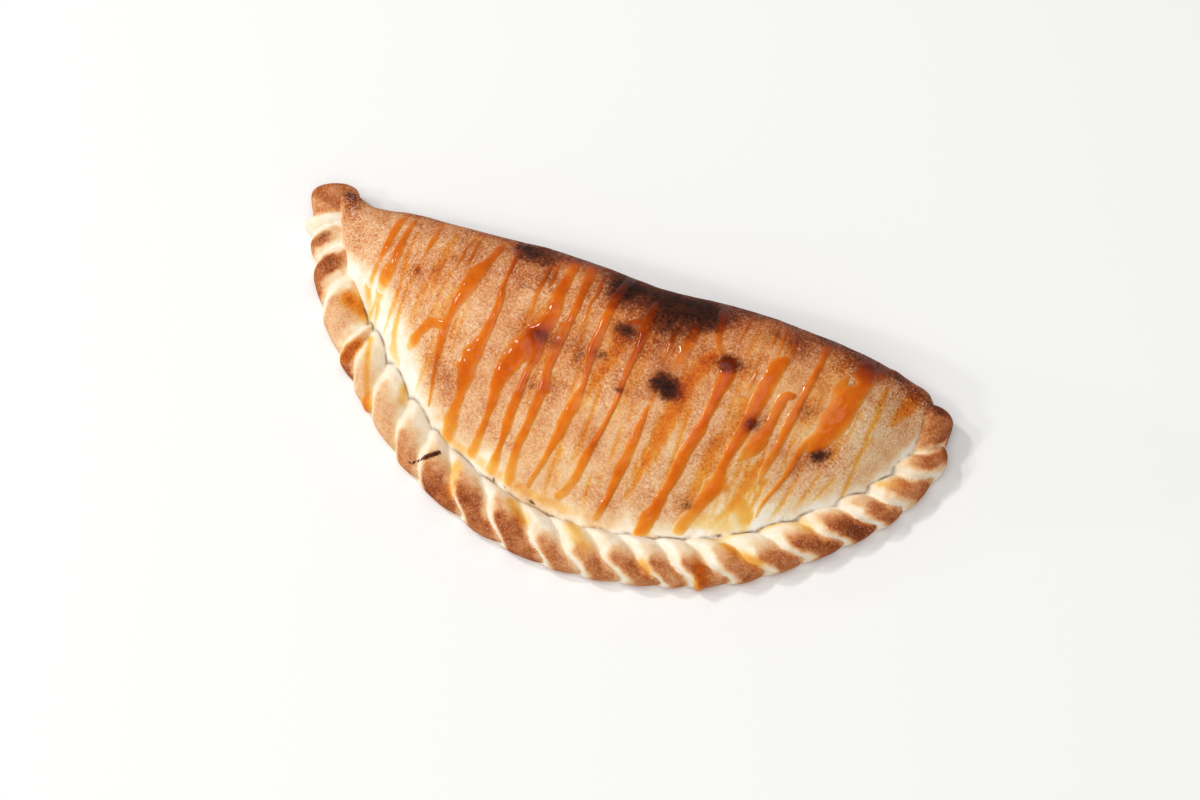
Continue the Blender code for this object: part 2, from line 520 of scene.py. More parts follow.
@dataclass(frozen=True)
class EdgeForm:
    """The twisted edge: a tube round the rim, lying flat, with one rounded ridge for each strand."""

    rim: Rim = Rim()
    half_width: float = 10.6
    middle_height: float = 6.4
    top_height: float = 14.2
    tip_length: float = 8.0
    # How blunt the two ends are: 2 is round.
    left_bluntness: float = 3.4
    right_bluntness: float = 2.2
    # How much higher than the rest the right end is.
    tip_rise: float = 3.0
    # How deep the groove beside a strand of ordinary width is, and how much of that depth the tube's inner
    # and outer sides draw in.
    groove_depth: float = 3.4
    usual_width: float = 11.0
    inner_draw: float = 0.42
    outer_draw: float = 0.70
    crest_at: float = 0.36
    inner_reach: float = 8.0
    outer_reach: float = -9.0
    # From here on along the rim the seam runs smoothly past the strands' inner ends, with grooves so much
    # shallower.
    smooth_seam: Place = (104.0, 130.0)
    seam_shallower: float = 0.62
    bumps: Layers = ((0.35, 9, 31), (0.14, 3.5, 32))

    def outward(self, across: np.ndarray) -> np.ndarray:
        """Gives the share of the way from the strands' inner ends to their outer ones."""
        return (self.inner_reach - across) / (self.inner_reach - self.outer_reach)

    def strand_places(self, along: np.ndarray, across: np.ndarray) -> EdgePlaces:
        """Finds which strand covers each place.

        Args:
            along: Distances along the rim.
            across: Distances from its middle line towards the belly.

        Returns:
            The places with their strands.
        """
        share = np.clip(self.outward(across), -0.15, 1.1)
        lean = share + 0.10 * np.sin(share * 2 * math.pi)
        number = np.zeros(along.shape, int)
        left = np.full(along.shape, -1e3)
        right = np.full(along.shape, 1e3)
        grooves = [strand.inner + (strand.outer - strand.inner) * lean for strand in STRANDS]
        for index, groove in enumerate(grooves):
            passed = (along >= groove) & (groove >= left)
            number = np.where(passed, index, number)
            left = np.where(passed, groove, left)
        for groove in grooves:
            right = np.where((groove > along) & (groove < right), groove, right)
        width = np.maximum(right - left, 0.5)
        return EdgePlaces(along, across, number, np.clip((along - left) / width, 0, 1), width)

    def ridge(self, phase: np.ndarray) -> np.ndarray:
        """Gives a strand's height across its width: a steep left flank, a round back, a gentle right side."""
        rising = np.sin(np.clip(phase / self.crest_at, 0, 1) * math.pi / 2) ** 0.8
        falling = np.cos(np.clip((phase - self.crest_at) / (1 - self.crest_at), 0, 1) * math.pi / 2) ** 0.7
        return np.where(phase < self.crest_at, rising, falling)

    def end_size(self, along: np.ndarray) -> np.ndarray:
        """Gives the tube's size by ring, from 1 down to almost nothing at its two ends."""
        length = self.rim.length
        from_end = np.clip(np.minimum(along, length - along) / self.tip_length, 0, 1)
        blunt = np.where(along < length / 2, self.left_bluntness, self.right_bluntness)
        return np.maximum((1 - (1 - from_end) ** blunt) ** (1 / blunt), 0.06)[:, None]

    def skin(self, along: np.ndarray, turn: np.ndarray) -> tuple[np.ndarray, EdgePlaces]:
        """Finds the edge's surface.

        Args:
            along: Distances along the rim, one for each ring.
            turn: Angles round the tube, 0 towards the belly and a quarter turn at the top.

        Returns:
            Points by ring and angle, and their strands.
        """
        middles, inward = self.rim.stations(along)
        length = self.rim.length
        size = self.end_size(along)
        cos, sin = np.cos(turn)[None], np.sin(turn)[None]
        across = self.half_width * cos * np.ones_like(size)
        places = self.strand_places(along[:, None] + 0 * across, across)
        upper = np.clip(sin, 0, 1)
        top = self.top_height - self.middle_height + places.of_strand("lift")
        top = top + self.tip_rise * smooth_step(along, length - 40, length - 8)[:, None]
        height = self.middle_height + np.where(sin > 0, top * size * upper,
                                               -self.middle_height * size * np.abs(sin) ** 0.6)
        wall = smooth_step(sin, -0.75, 0.1)
        smooth = smooth_step(along, *self.smooth_seam)[:, None] * smooth_step(cos, 0.35, 0.95)
        ridge = self.ridge(places.phase)
        depth = self.groove_depth * np.minimum(places.width / self.usual_width, 1.1) * (1 - ridge)
        depth = depth * wall * (1 - self.seam_shallower * smooth)
        nose = places.of_strand("nose") * smooth_step(cos, 0.3, 0.95) * ridge
        bulge = places.of_strand("bulge") * smooth_step(-cos, 0.2, 0.9)
        bulge = bulge * ridge ** 0.5 * (1.2 - 0.8 * places.phase)
        draw = np.where(cos > 0, self.inner_draw, self.outer_draw)
        reach = across * size + (nose + bulge - draw * depth) * cos * size
        height = height - depth * (0.35 + 0.65 * upper) * size * (sin > -0.2) + nose * 0.8 * upper
        points = np.empty(across.shape + (3,))
        points[..., :2] = middles[:, None] + inward[:, None] * reach[..., None]
        points[..., 2] = np.maximum(height, 0.0)
        points = points - grid_normals(points) * (grains(points, self.bumps) * wall * size)[..., None]
        points[..., 2] = np.maximum(points[..., 2], 0.0)
        return points, places


# ----------------------------------------
# Marks and sauce
# ----------------------------------------


@dataclass(frozen=True)
class BellyPlaces:
    """Places on the belly: their points, their shares of the way, and the run from seam to fold in mm."""

    points: np.ndarray
    share: np.ndarray
    run: np.ndarray

    @property
    def x(self) -> np.ndarray:
        """Their x."""
        return self.points[..., 0]

    @cached_property
    def unrolled(self) -> np.ndarray:
        """Where they lie on the skin laid flat, in millimetres."""
        return np.stack([self.x, self.share * self.run], axis=-1)

    @cached_property
    def ragged(self) -> np.ndarray:
        """How uneven the sides of a run of sauce are."""
        return grains(self.unrolled, ((1.0, 5, 83), (0.8, 1.8, 84)))

    @cached_property
    def rippled(self) -> np.ndarray:
        """How uneven a run's depth is."""
        return grains(self.unrolled, ((0.20, 4.6, 85), (0.12, 2.3, 86)))


@dataclass(frozen=True)
class Patch:
    """A round or oval spot on the belly: its x, its share of the way, its reach in mm and its strength."""

    x: float
    share: float
    reach: float
    strength: float
    stretch: float = 1.0

    def spread(self, places: BellyPlaces, wider: float = 0.0, fall: float = 2.6) -> np.ndarray:
        """Works out the patch's strength.

        Args:
            places: Where on the belly.
            wider: How much farther than its own reach it is followed, in millimetres.
            fall: How suddenly it ends.

        Returns:
            The strength there.
        """
        gap = np.hypot((places.x - self.x) / self.stretch, (places.share - self.share) * places.run)
        return self.strength * np.exp(-(gap / (self.reach + wider) * 1.15) ** fall)


CHARS: tuple[Patch, ...] = (
    Patch(-45, 0.855, 6, 0.95), Patch(-40, 0.835, 9, 0.76, 1.2), Patch(-35, 0.82, 7, 0.58),
    Patch(-2, 0.865, 9, 0.66), Patch(3, 0.82, 13, 1.05, 0.8), Patch(10, 0.835, 13, 0.88),
    Patch(17, 0.83, 14, 0.9), Patch(21, 0.825, 13, 1.1, 0.8), Patch(27, 0.79, 17, 0.92),
    Patch(31, 0.81, 16, 1.1, 0.8), Patch(36, 0.805, 14, 1.12, 0.8), Patch(40, 0.815, 8, 0.8),
    Patch(10, 0.672, 3, 0.85, 2), Patch(3.5, 0.575, 3.6, 0.42, 1.3), Patch(31, 0.55, 5.6, 0.95, 1),
    Patch(35, 0.535, 5.8, 1, 1), Patch(54.5, 0.645, 4.4, 0.8, 1.6), Patch(15.5, 0.498, 1.8, 0.45, 1.6),
    Patch(9.6, 0.397, 1, 0.45, 1.7), Patch(71.5, 0.472, 3.2, 0.62, 1.3), Patch(101, 0.373, 3.6, 0.8, 1.3),
    Patch(57, 0.19, 2.6, 0.4, 1.2), Patch(106, 0.85, 6, 0.5), Patch(87, 0.885, 5, 0.62),
    Patch(-19.5, 0.41, 2.8, 0.26), Patch(-5, 0.557, 2.8, 0.28, 1.3), Patch(-37, 0.695, 2.8, 0.24, 1.5),
    Patch(90, 0.54, 3.4, 0.3, 1.3), Patch(-23, 0.56, 3, 0.42, 2), Patch(94, 0.31, 2.8, 0.28, 1.2),
    Patch(118, 0.86, 5, 0.45, 1.4), Patch(-84, 0.57, 1.6, 0.45), Patch(60, 0.4, 4, 0.16),
    Patch(-22, 0.093, 0.8, 0.75, 1.5), Patch(-16.5, 0.09, 0.7, 0.65, 1.6), Patch(-4, 0.09, 1.1, 0.6, 1.8),
    Patch(4, 0.076, 0.8, 0.55, 1.6), Patch(73, 0.093, 1.6, 0.28, 2.4), Patch(86, 0.1, 1.2, 0.26, 2),
    Patch(96, 0.122, 1.6, 0.26, 2),
)
# Browner places of the crust.
BLUSHES: tuple[Patch, ...] = (
    Patch(-57, 0.27, 9, 0.17, 0.9), Patch(-118, 0.5, 7, 0.14), Patch(-129, 0.72, 9, 0.42, 0.8),
    Patch(-41, 0.72, 8, 0.12), Patch(-28, 0.74, 7, 0.16), Patch(-22, 0.56, 8, 0.14),
    Patch(-5, 0.56, 7, 0.14), Patch(-9, 0.45, 7, 0.1), Patch(-26, 0.2, 7, 0.08), Patch(12, 0.6, 9, 0.1),
    Patch(24, 0.64, 9, 0.12), Patch(44, 0.52, 8, 0.08), Patch(60, 0.4, 8, 0.12), Patch(57, 0.2, 7, 0.14),
    Patch(71, 0.48, 9, 0.14), Patch(82, 0.38, 8, 0.12), Patch(90, 0.54, 7, 0.12), Patch(100, 0.36, 9, 0.14),
    Patch(94, 0.3, 8, 0.12), Patch(26, 0.38, 8, 0.06), Patch(10, 0.33, 8, 0.08), Patch(-70, 0.64, 8, 0.06),
    Patch(122, 0.7, 8, 0.12),
)


@dataclass(frozen=True)
class Streak:
    """A run of sauce on the belly.

    depth is how deep it is, route is its x, its share of the way and its half-width in mm from place to
    place, and tail is how much of its depth is left at its end.
    """

    depth: float
    route: tuple[tuple[float, float, float], ...]
    tail: float = 0.45
    # How much wider than its half-width it is, for its thin sides, and how suddenly they fall.
    SPREAD = 1.22
    SIDE_FALL = 2.6
    # How many half-widths away it is followed, and how many its sides' fall is reckoned for at most.
    FARTHEST = 3.0
    SIDE_END = 2.2
    CURVE_STEPS = 3
    # Over which share of its way it thins out.
    THINS_OVER = (0.70, 0.98)

    def offset(self, places: BellyPlaces) -> tuple[np.ndarray, np.ndarray]:
        """Measures how far places are from the route, in half-widths there, and how far down it they lie.

        Args:
            places: Where on the belly.

        Returns:
            0 on the route's middle line, 1 on its sides and 3 for everything far away; and 0 beside its start
            to 1 beside its end.
        """
        line = smooth_curve(np.array(self.route), self.CURVE_STEPS)
        reach = self.FARTHEST * line[:, 2].max()
        near = (places.x > line[:, 0].min() - reach) & (places.x < line[:, 0].max() + reach)
        offset, passed = np.full(near.shape, self.FARTHEST), np.zeros(near.shape)
        x, share, scale = places.x[near], places.share[near], places.run[near]
        best, where = offset[near], passed[near]
        for index, (start, end) in enumerate(zip(line, line[1:])):
            way_x, way_y = end[0] - start[0], (end[1] - start[1]) * scale
            gap_x, gap_y = x - start[0], (share - start[1]) * scale
            part = np.clip((gap_x * way_x + gap_y * way_y) / (way_x ** 2 + way_y ** 2 + 1e-6), 0, 1)
            half = self.SPREAD * (start[2] + (end[2] - start[2]) * part)
            gap = np.hypot(gap_x - way_x * part, gap_y - way_y * part) / half
            where = np.where(gap < best, (index + part) / (len(line) - 1), where)
            best = np.minimum(best, gap)
        offset[near], passed[near] = best, where
        return offset, passed

    def thickness(self, places: BellyPlaces, sway: float = 0.14) -> np.ndarray:
        """Works out how thick the run is, below zero where there is none.

        Args:
            places: Where on the belly.
            sway: How uneven its sides are.

        Returns:
            The thickness in millimetres.
        """
        offset, passed = self.offset(places)
        thinned = (1 - self.tail) * smooth_step(passed, *self.THINS_OVER)
        side = np.minimum(offset * (1 + sway * places.ragged), self.SIDE_END) ** self.SIDE_FALL
        return self.depth * (1 - thinned) * (1 + places.rippled) * (1 - side)


STREAKS: tuple[Streak, ...] = (
    Streak(0.9, ((-100.2, 0.95, 0.9), (-100.5, 0.85, 1.3), (-101.3, 0.78, 1.7), (-101.6, 0.68, 1.7),
           (-101.6, 0.6, 1.5), (-102, 0.54, 1), (-102.4, 0.48, 0.8))),
    Streak(0.45, ((-102.4, 0.48, 0.8), (-103, 0.41, 1), (-103.2, 0.33, 1.1))),
    Streak(0.9, ((-95.9, 0.97, 0.8), (-95.8, 0.85, 1.1), (-95.7, 0.74, 1.2), (-95.6, 0.64, 1.6),
           (-95.5, 0.55, 1.9), (-96, 0.5, 2.2))),
    Streak(0.6, ((-95.8, 0.52, 2), (-97.3, 0.44, 2.8), (-97.6, 0.38, 2.4))),
    Streak(0.75, ((-84.3, 0.93, 0.7), (-84, 0.85, 1.2), (-83.5, 0.79, 1), (-83.1, 0.75, 1.5),
           (-83.5, 0.7, 0.8), (-84, 0.62, 0.5))),
    Streak(0.55, ((-84.2, 0.6, 0.5), (-83.9, 0.57, 1.2), (-84.6, 0.53, 0.7))),
    Streak(0.6, ((-67.7, 0.93, 0.5), (-67.2, 0.84, 0.9), (-67.8, 0.76, 0.5), (-68, 0.7, 0.8),
           (-68.3, 0.65, 0.4))),
    Streak(0.7, ((-65.3, 0.92, 0.5), (-64.8, 0.83, 0.9), (-64.2, 0.76, 0.8), (-64, 0.69, 0.8))),
    Streak(1.05, ((-53.3, 1.08, 1.2), (-54.8, 0.94, 1.8), (-54.9, 0.85, 1.6), (-55.4, 0.78, 1.6),
           (-56.6, 0.725, 1.9), (-58.4, 0.68, 3), (-59.4, 0.635, 3.2), (-60.8, 0.585, 2.8),
           (-62.2, 0.545, 2.1), (-62.8, 0.5, 1.7), (-63.2, 0.45, 1.8), (-63, 0.38, 1.5), (-62.5, 0.31, 1),
           (-61.3, 0.25, 0.9), (-60, 0.185, 0.8), (-59.3, 0.15, 0.5))),
    Streak(0.6, ((-56.5, 0.675, 1.6), (-60, 0.67, 2.2), (-62.4, 0.655, 1.6))),
    Streak(0.75, ((-63.5, 0.445, 2.2), (-67.5, 0.432, 1.9), (-70.8, 0.412, 1.8), (-73.3, 0.36, 1.6),
           (-75.2, 0.3, 2), (-76.3, 0.265, 1.5))),
    Streak(1.05, ((-47, 0.96, 0.7), (-46.8, 0.86, 0.9), (-46.6, 0.79, 1.1), (-46.1, 0.72, 0.8),
           (-46, 0.66, 0.9), (-45.2, 0.62, 1.6), (-44.7, 0.58, 1.6), (-45.2, 0.52, 1.8), (-46.4, 0.46, 2.6),
           (-47.8, 0.41, 3.6), (-48.4, 0.355, 3.9), (-47.9, 0.31, 2.6), (-47.3, 0.265, 1.9),
           (-47.6, 0.21, 2.4), (-47.8, 0.16, 3), (-47.4, 0.12, 3.2))),
    Streak(0.6, ((-48, 0.36, 2.6), (-51, 0.355, 1.8), (-54, 0.342, 0.8))),
    Streak(0.65, ((-31.9, 0.96, 0.6), (-31.4, 0.86, 0.9), (-30.8, 0.74, 0.8), (-31.4, 0.69, 0.7),
           (-30.9, 0.63, 0.8), (-29.8, 0.58, 1))),
    Streak(0.5, ((-29.2, 0.92, 0.5), (-28.4, 0.81, 0.6), (-27.6, 0.75, 0.8), (-28, 0.71, 0.5))),
    Streak(1.2, ((-21.2, 1.12, 1.6), (-22.3, 0.94, 2.1), (-22.5, 0.85, 2.4), (-21.9, 0.78, 2),
           (-22.2, 0.71, 2.3), (-21.8, 0.65, 3), (-22.8, 0.6, 3.2), (-25.4, 0.55, 4.6), (-27.8, 0.51, 5),
           (-30.5, 0.46, 3.8), (-33.2, 0.41, 3.2), (-33.8, 0.36, 2.4), (-33.3, 0.3, 1.7),
           (-33.6, 0.23, 1.4), (-34, 0.17, 1.8), (-34.6, 0.125, 2.6))),
    Streak(1, ((-22.6, 0.56, 2.6), (-22.6, 0.48, 1.9), (-23.4, 0.41, 1.6), (-23.9, 0.34, 1.8),
           (-24.2, 0.27, 1.9), (-24, 0.2, 1.1), (-24.2, 0.15, 1.8), (-24.5, 0.115, 2.6))),
    Streak(1.05, ((-13.3, 1.12, 1.5), (-14.6, 0.94, 2.3), (-14.9, 0.85, 2.6), (-14, 0.78, 2),
           (-13.5, 0.71, 1.5), (-13.6, 0.65, 1.3), (-14.2, 0.6, 1.8), (-14.6, 0.54, 1.5),
           (-15.3, 0.48, 1.6), (-14.6, 0.42, 2.5), (-15.1, 0.36, 1.9), (-16, 0.28, 1.7), (-17, 0.21, 1.8),
           (-16.4, 0.15, 2), (-16.2, 0.115, 2.3))),
    Streak(0.6, ((-19.6, 0.95, 1.6), (-18.6, 0.88, 1.6), (-17.6, 0.83, 1))),
    Streak(0.5, ((-16.6, 0.62, 0.9), (-17.3, 0.55, 0.8), (-17, 0.46, 0.9))),
    Streak(0.5, ((-8, 0.86, 0.5), (-8.4, 0.8, 0.7), (-7.6, 0.75, 0.8), (-8.5, 0.71, 0.5), (-8.3, 0.66, 0.7),
           (-9, 0.6, 0.4))),
    Streak(1, ((1.6, 0.92, 1.4), (1, 0.82, 1.7), (0.4, 0.76, 1.9), (0, 0.69, 1.9), (-0.3, 0.62, 1.9),
           (-0.4, 0.565, 2), (0.5, 0.51, 1.2), (1, 0.465, 1.4), (0.1, 0.42, 2.4), (-1.3, 0.37, 2.4),
           (-1.9, 0.31, 2), (-3.4, 0.26, 1.4), (-4.7, 0.21, 1.2), (-6.3, 0.165, 1.2), (-7.4, 0.13, 1))),
    Streak(1, ((16.4, 0.79, 0.9), (17, 0.74, 1.9), (17, 0.7, 2.1), (17.2, 0.65, 1.4), (16.6, 0.59, 1.3),
           (16.2, 0.53, 1.1), (16.2, 0.47, 1.1), (15.4, 0.42, 1), (14.4, 0.37, 1), (12.8, 0.32, 1.3),
           (11.6, 0.27, 1.8), (10.6, 0.215, 1.7), (8.6, 0.17, 1.9), (6.2, 0.14, 1.8))),
    Streak(0.65, ((16.5, 0.715, 1.6), (12.5, 0.705, 1.5), (8.5, 0.695, 0.8))),
    Streak(0.6, ((29, 0.72, 0.7), (28.9, 0.65, 1), (28.6, 0.6, 0.8))),
    Streak(0.95, ((29.2, 0.47, 0.6), (28.7, 0.41, 1.5), (28.2, 0.35, 1.8), (27.3, 0.29, 2),
           (26.6, 0.23, 1.8), (25.9, 0.18, 1.2), (24.8, 0.14, 1.5), (23.6, 0.11, 1.5))),
    Streak(0.6, ((36.2, 0.735, 1.8), (35.9, 0.69, 2.4), (35.2, 0.64, 2.1), (34.6, 0.6, 1.6))),
    Streak(0.75, ((40, 1.04, 1.2), (41.3, 0.91, 1.6), (42.6, 0.85, 1.8), (44, 0.8, 1.9), (45.3, 0.75, 1.5),
           (46.5, 0.71, 1.3), (48.5, 0.68, 1.2), (51, 0.665, 1.4))),
    Streak(1.3, ((51.6, 0.64, 2), (54.2, 0.64, 2.8), (54.8, 0.61, 3), (54.5, 0.57, 2.5), (53.6, 0.52, 2.1),
           (52.8, 0.47, 1.8), (51.8, 0.42, 2.3), (50, 0.37, 2.1), (48.9, 0.32, 2.4), (48.3, 0.27, 2.2),
           (47, 0.23, 2), (45.8, 0.18, 2.4), (44.2, 0.14, 3), (43.4, 0.1, 3.2)), 0.8),
    Streak(0.7, ((56.8, 1.04, 1.2), (57.2, 0.91, 1.3), (55.8, 0.85, 0.7), (55, 0.78, 0.6),
           (54.8, 0.71, 0.5))),
    Streak(0.6, ((66, 0.92, 0.5), (67, 0.83, 0.9), (67.3, 0.77, 0.7), (67.8, 0.72, 0.6))),
    Streak(0.5, ((65.9, 0.64, 0.5), (65.4, 0.6, 1), (65, 0.56, 0.6))),
    Streak(0.75, ((69, 1.02, 0.9), (69.2, 0.9, 1.1), (70, 0.84, 0.9), (70.8, 0.78, 0.7), (71.2, 0.71, 1))),
    Streak(0.7, ((73.6, 0.98, 0.6), (74, 0.88, 0.8), (75, 0.82, 0.8), (76, 0.77, 0.9), (76, 0.71, 1))),
    Streak(1.15, ((74.6, 0.695, 2), (72.9, 0.67, 3.3), (71.9, 0.61, 3.2), (70.9, 0.56, 2.9),
           (69.8, 0.5, 2.3), (68.8, 0.44, 2.4), (67.3, 0.39, 2.2), (66, 0.34, 1.5), (65.6, 0.3, 2.2),
           (65.8, 0.265, 3.4), (64.2, 0.235, 3.2), (61.8, 0.19, 2.4), (59.6, 0.15, 2.8), (58, 0.115, 2.8))),
    Streak(1.05, ((65, 0.265, 3.2), (69, 0.258, 2.4))),
    Streak(1.1, ((82.4, 0.586, 1.5), (79.8, 0.58, 2), (79.2, 0.54, 1.9), (78.6, 0.49, 1.6),
           (77.6, 0.45, 2.4), (75.6, 0.41, 3.4), (73.6, 0.38, 2.6), (71.4, 0.355, 1))),
    Streak(0.95, ((88, 1.05, 1.4), (88, 0.93, 1.9), (88.3, 0.85, 2), (88.6, 0.78, 1.3), (88.5, 0.71, 1.2),
           (87.7, 0.65, 1.4), (87, 0.59, 1.3), (86.2, 0.53, 1.7), (85.2, 0.48, 1.9), (84.6, 0.43, 1.6),
           (83.5, 0.38, 1.6), (82.2, 0.33, 1.5), (81.6, 0.28, 0.8))),
    Streak(0.75, ((96, 0.45, 1.8), (93.2, 0.4, 1.5), (92.2, 0.35, 1.4), (91, 0.3, 1.3), (89, 0.26, 1.2),
           (87, 0.225, 1.1), (85.4, 0.185, 0.9), (85, 0.155, 0.8))),
    Streak(1.2, ((105.2, 0.96, 1.6), (105.8, 0.86, 2.6), (106.8, 0.79, 3.8), (107, 0.73, 4),
           (106.6, 0.67, 3.6), (103.8, 0.6, 5), (102.4, 0.54, 5.6), (101.2, 0.49, 5.2), (99.4, 0.45, 4.4),
           (98, 0.41, 2.6)), 0.8),
    Streak(0.7, ((101, 0.69, 1.6), (99.6, 0.65, 2.4), (100.4, 0.6, 2.6))),
    Streak(0.6, ((113.2, 0.93, 1.2), (113, 0.84, 1.8), (112.5, 0.79, 1.8), (112.2, 0.75, 1))),
)

# Where the sauce leaves the crust bare.
HOLES: tuple[Patch, ...] = (
    Patch(103.4, 0.688, 2.3, 1.9, 0.8), Patch(99.4, 0.72, 1.6, 0.9, 1.2),
)

# Thin runs that only stain the crust.
STAINS: tuple[Streak, ...] = (
    Streak(0.3, ((-97.7, 0.37, 2.3), (-97.6, 0.31, 1.9), (-96.4, 0.25, 1.1), (-95.6, 0.17, 0.9))),
    Streak(0.35, ((-103.2, 0.36, 1.2), (-103, 0.29, 1.8), (-101.5, 0.24, 2.4))),
    Streak(0.3, ((-84.6, 0.53, 0.6), (-85.8, 0.47, 0.8), (-85.7, 0.38, 0.8), (-85.5, 0.3, 1.1),
           (-84.8, 0.24, 1.4), (-82.6, 0.185, 1.8), (-79, 0.165, 1.4))),
    Streak(0.25, ((-69.6, 0.63, 0.8), (-70.5, 0.55, 1), (-70.6, 0.5, 0.8), (-71.4, 0.43, 1))),
    Streak(0.4, ((8.6, 0.645, 3.2), (7.8, 0.58, 3), (5.8, 0.53, 2.4), (4.2, 0.48, 1.3), (3.6, 0.41, 0.8))),
    Streak(0.62, ((48, 0.665, 2), (45.2, 0.635, 3.4), (42.6, 0.59, 3.6), (41, 0.54, 3), (40, 0.48, 2.2),
           (38.8, 0.42, 1.8), (37.2, 0.36, 1.5), (35.6, 0.3, 1.2), (34.3, 0.24, 1), (32.6, 0.19, 1))),
    Streak(0.4, ((43.6, 0.6, 2), (42.6, 0.5, 1.2), (41.4, 0.43, 0.9), (39.8, 0.36, 0.8),
           (37.6, 0.27, 0.6))),
    Streak(0.42, ((38.6, 0.56, 1.4), (37.2, 0.47, 1.2), (36, 0.41, 0.9), (34, 0.33, 0.7),
           (31.6, 0.23, 0.6))),
    Streak(0.1, ((44, 0.62, 5.5), (41, 0.5, 5.5), (37.5, 0.36, 4.5))),
    Streak(0.42, ((76, 0.225, 2.2), (79, 0.185, 2.8), (82, 0.15, 2.6), (82.6, 0.115, 2))),
    Streak(0.18, ((60, 0.16, 4.2), (66, 0.14, 4), (74, 0.14, 4.4), (82, 0.14, 3.6))),
    Streak(0.13, ((96, 0.74, 3), (94, 0.62, 4), (93, 0.52, 3), (90, 0.42, 2))),
    Streak(0.15, ((74, 0.9, 4), (73, 0.8, 4), (72, 0.72, 3))),
    Streak(0.08, ((62, 0.74, 4.4), (60, 0.62, 4.4), (58.6, 0.52, 3.4))),
    Streak(0.34, ((60.6, 0.42, 1.6), (59.8, 0.34, 2.8), (58.8, 0.26, 2.4), (57, 0.18, 2))),
    Streak(0.14, ((21, 0.74, 3), (20, 0.62, 3.4), (19.6, 0.5, 2.6), (17, 0.38, 2))),
    Streak(0.1, ((3, 0.74, 2.4), (4.6, 0.62, 3.4), (5, 0.5, 3), (2, 0.36, 2))),
    Streak(0.5, ((79.5, 0.35, 1.6), (77.8, 0.29, 2.2), (76.2, 0.24, 2.6), (75.6, 0.2, 2.4),
           (72.6, 0.17, 1.6), (69.8, 0.13, 1))),
    Streak(0.35, ((116.8, 0.73, 0.7), (117, 0.64, 1.1), (117, 0.56, 1.5), (116.3, 0.48, 0.7),
           (116.2, 0.36, 0.9))),
    Streak(0.55, ((127.5, 0.94, 3.4), (127.6, 0.8, 3.2), (127, 0.7, 2.8), (125.8, 0.62, 2.3),
           (123.6, 0.55, 1.3))),
    Streak(0.25, ((98.2, 0.8, 1), (98, 0.74, 1.6), (98.6, 0.69, 1.6))),
    Streak(0.25, ((91.6, 0.9, 1.2), (91.6, 0.84, 1.6), (91, 0.79, 0.8))),
    Streak(0.22, ((1, 0.28, 0.5), (1.9, 0.22, 0.6), (2.8, 0.155, 0.6))),
    Streak(0.25, ((15.6, 0.27, 0.5), (16.4, 0.19, 0.6), (17.5, 0.13, 1))),
    Streak(0.22, ((-10.6, 0.64, 0.6), (-10.4, 0.5, 0.5), (-11.2, 0.44, 0.6))),
    Streak(0.22, ((59.6, 0.86, 0.5), (59.9, 0.76, 0.5), (59.6, 0.66, 0.4))),
    Streak(0.28, ((23.2, 0.47, 0.5), (22.3, 0.38, 0.7), (21.3, 0.28, 0.6), (20.6, 0.2, 0.5))),
    Streak(0.28, ((64.8, 0.55, 1.6), (63.8, 0.45, 1.6), (62.6, 0.36, 1.4))),
    Streak(0.3, ((58.2, 0.16, 2.6), (57.4, 0.11, 2.8))),
    Streak(0.25, ((-26.5, 0.62, 3.2), (-27.5, 0.56, 4.6), (-29, 0.5, 4.8))),
    Streak(0.16, ((-50, 0.115, 1.6), (-20, 0.112, 1.8), (24, 0.11, 1.8))),
    Streak(0.34, ((84, 0.29, 0.9), (82, 0.2, 1), (79.6, 0.13, 0.9))),
    Streak(0.3, ((82.4, 0.29, 0.7), (79.6, 0.22, 0.8), (77.4, 0.16, 1))),
    Streak(0.26, ((95.4, 0.28, 0.9), (93.2, 0.19, 1), (90.8, 0.13, 1.2))),
    Streak(0.22, ((103.6, 0.3, 0.7), (101.2, 0.22, 0.8), (99, 0.16, 0.9))),
    Streak(0.22, ((109.6, 0.26, 0.9), (106.4, 0.2, 1.1), (104, 0.16, 0.9))),
    Streak(0.22, ((118.6, 0.46, 0.9), (116, 0.38, 1.1), (113, 0.3, 0.8))),
    Streak(0.2, ((-64, 0.58, 2.2), (-66.5, 0.5, 2.2), (-67, 0.42, 2.6))),
)


@dataclass(frozen=True)
class EdgeSpot:
    """A mark on the twisted edge: its start and end as along and across, its half-width and its strength."""

    start: Place
    end: Place
    half: float
    strength: float

    def at(self, places: EdgePlaces) -> np.ndarray:
        """Works out the mark's strength at places on the edge, fading over the half-width."""
        way = np.array(self.end) - np.array(self.start)
        along, across = places.along - self.start[0], places.across - self.start[1]
        share = np.clip((along * way[0] + across * way[1]) / (way @ way), 0, 1)
        return self.strength * bell(np.hypot(along - share * way[0], across - share * way[1]), self.half)


EDGE_SAUCE: tuple[EdgeSpot, ...] = (
    EdgeSpot((58, 3), (65, 8), 3.2, 1.2), EdgeSpot((78, -1), (80, -8), 2.2, 0.7),
    EdgeSpot((78, 5), (101, -9), 1.2, 0.5), EdgeSpot((105, 8), (110, 4), 2, 0.4),
    EdgeSpot((149, 5), (154, -6), 2.2, 0.4), EdgeSpot((178, 7), (186, 2), 2.8, 0.42),
    EdgeSpot((206, 8), (214, 0), 3, 0.42), EdgeSpot((238, -3), (241, -7), 1.6, 0.45),
    EdgeSpot((261, -4), (263, -10), 2, 0.7), EdgeSpot((273, 4), (285, -7), 2, 0.5),
    EdgeSpot((304, 8), (309, 1), 3, 0.3), EdgeSpot((345, 4), (352, -2), 2, 0.3),
    EdgeSpot((290, 9), (298, 8), 1.6, 0.3), EdgeSpot((268, 9), (282, 9), 1.4, 0.35),
)
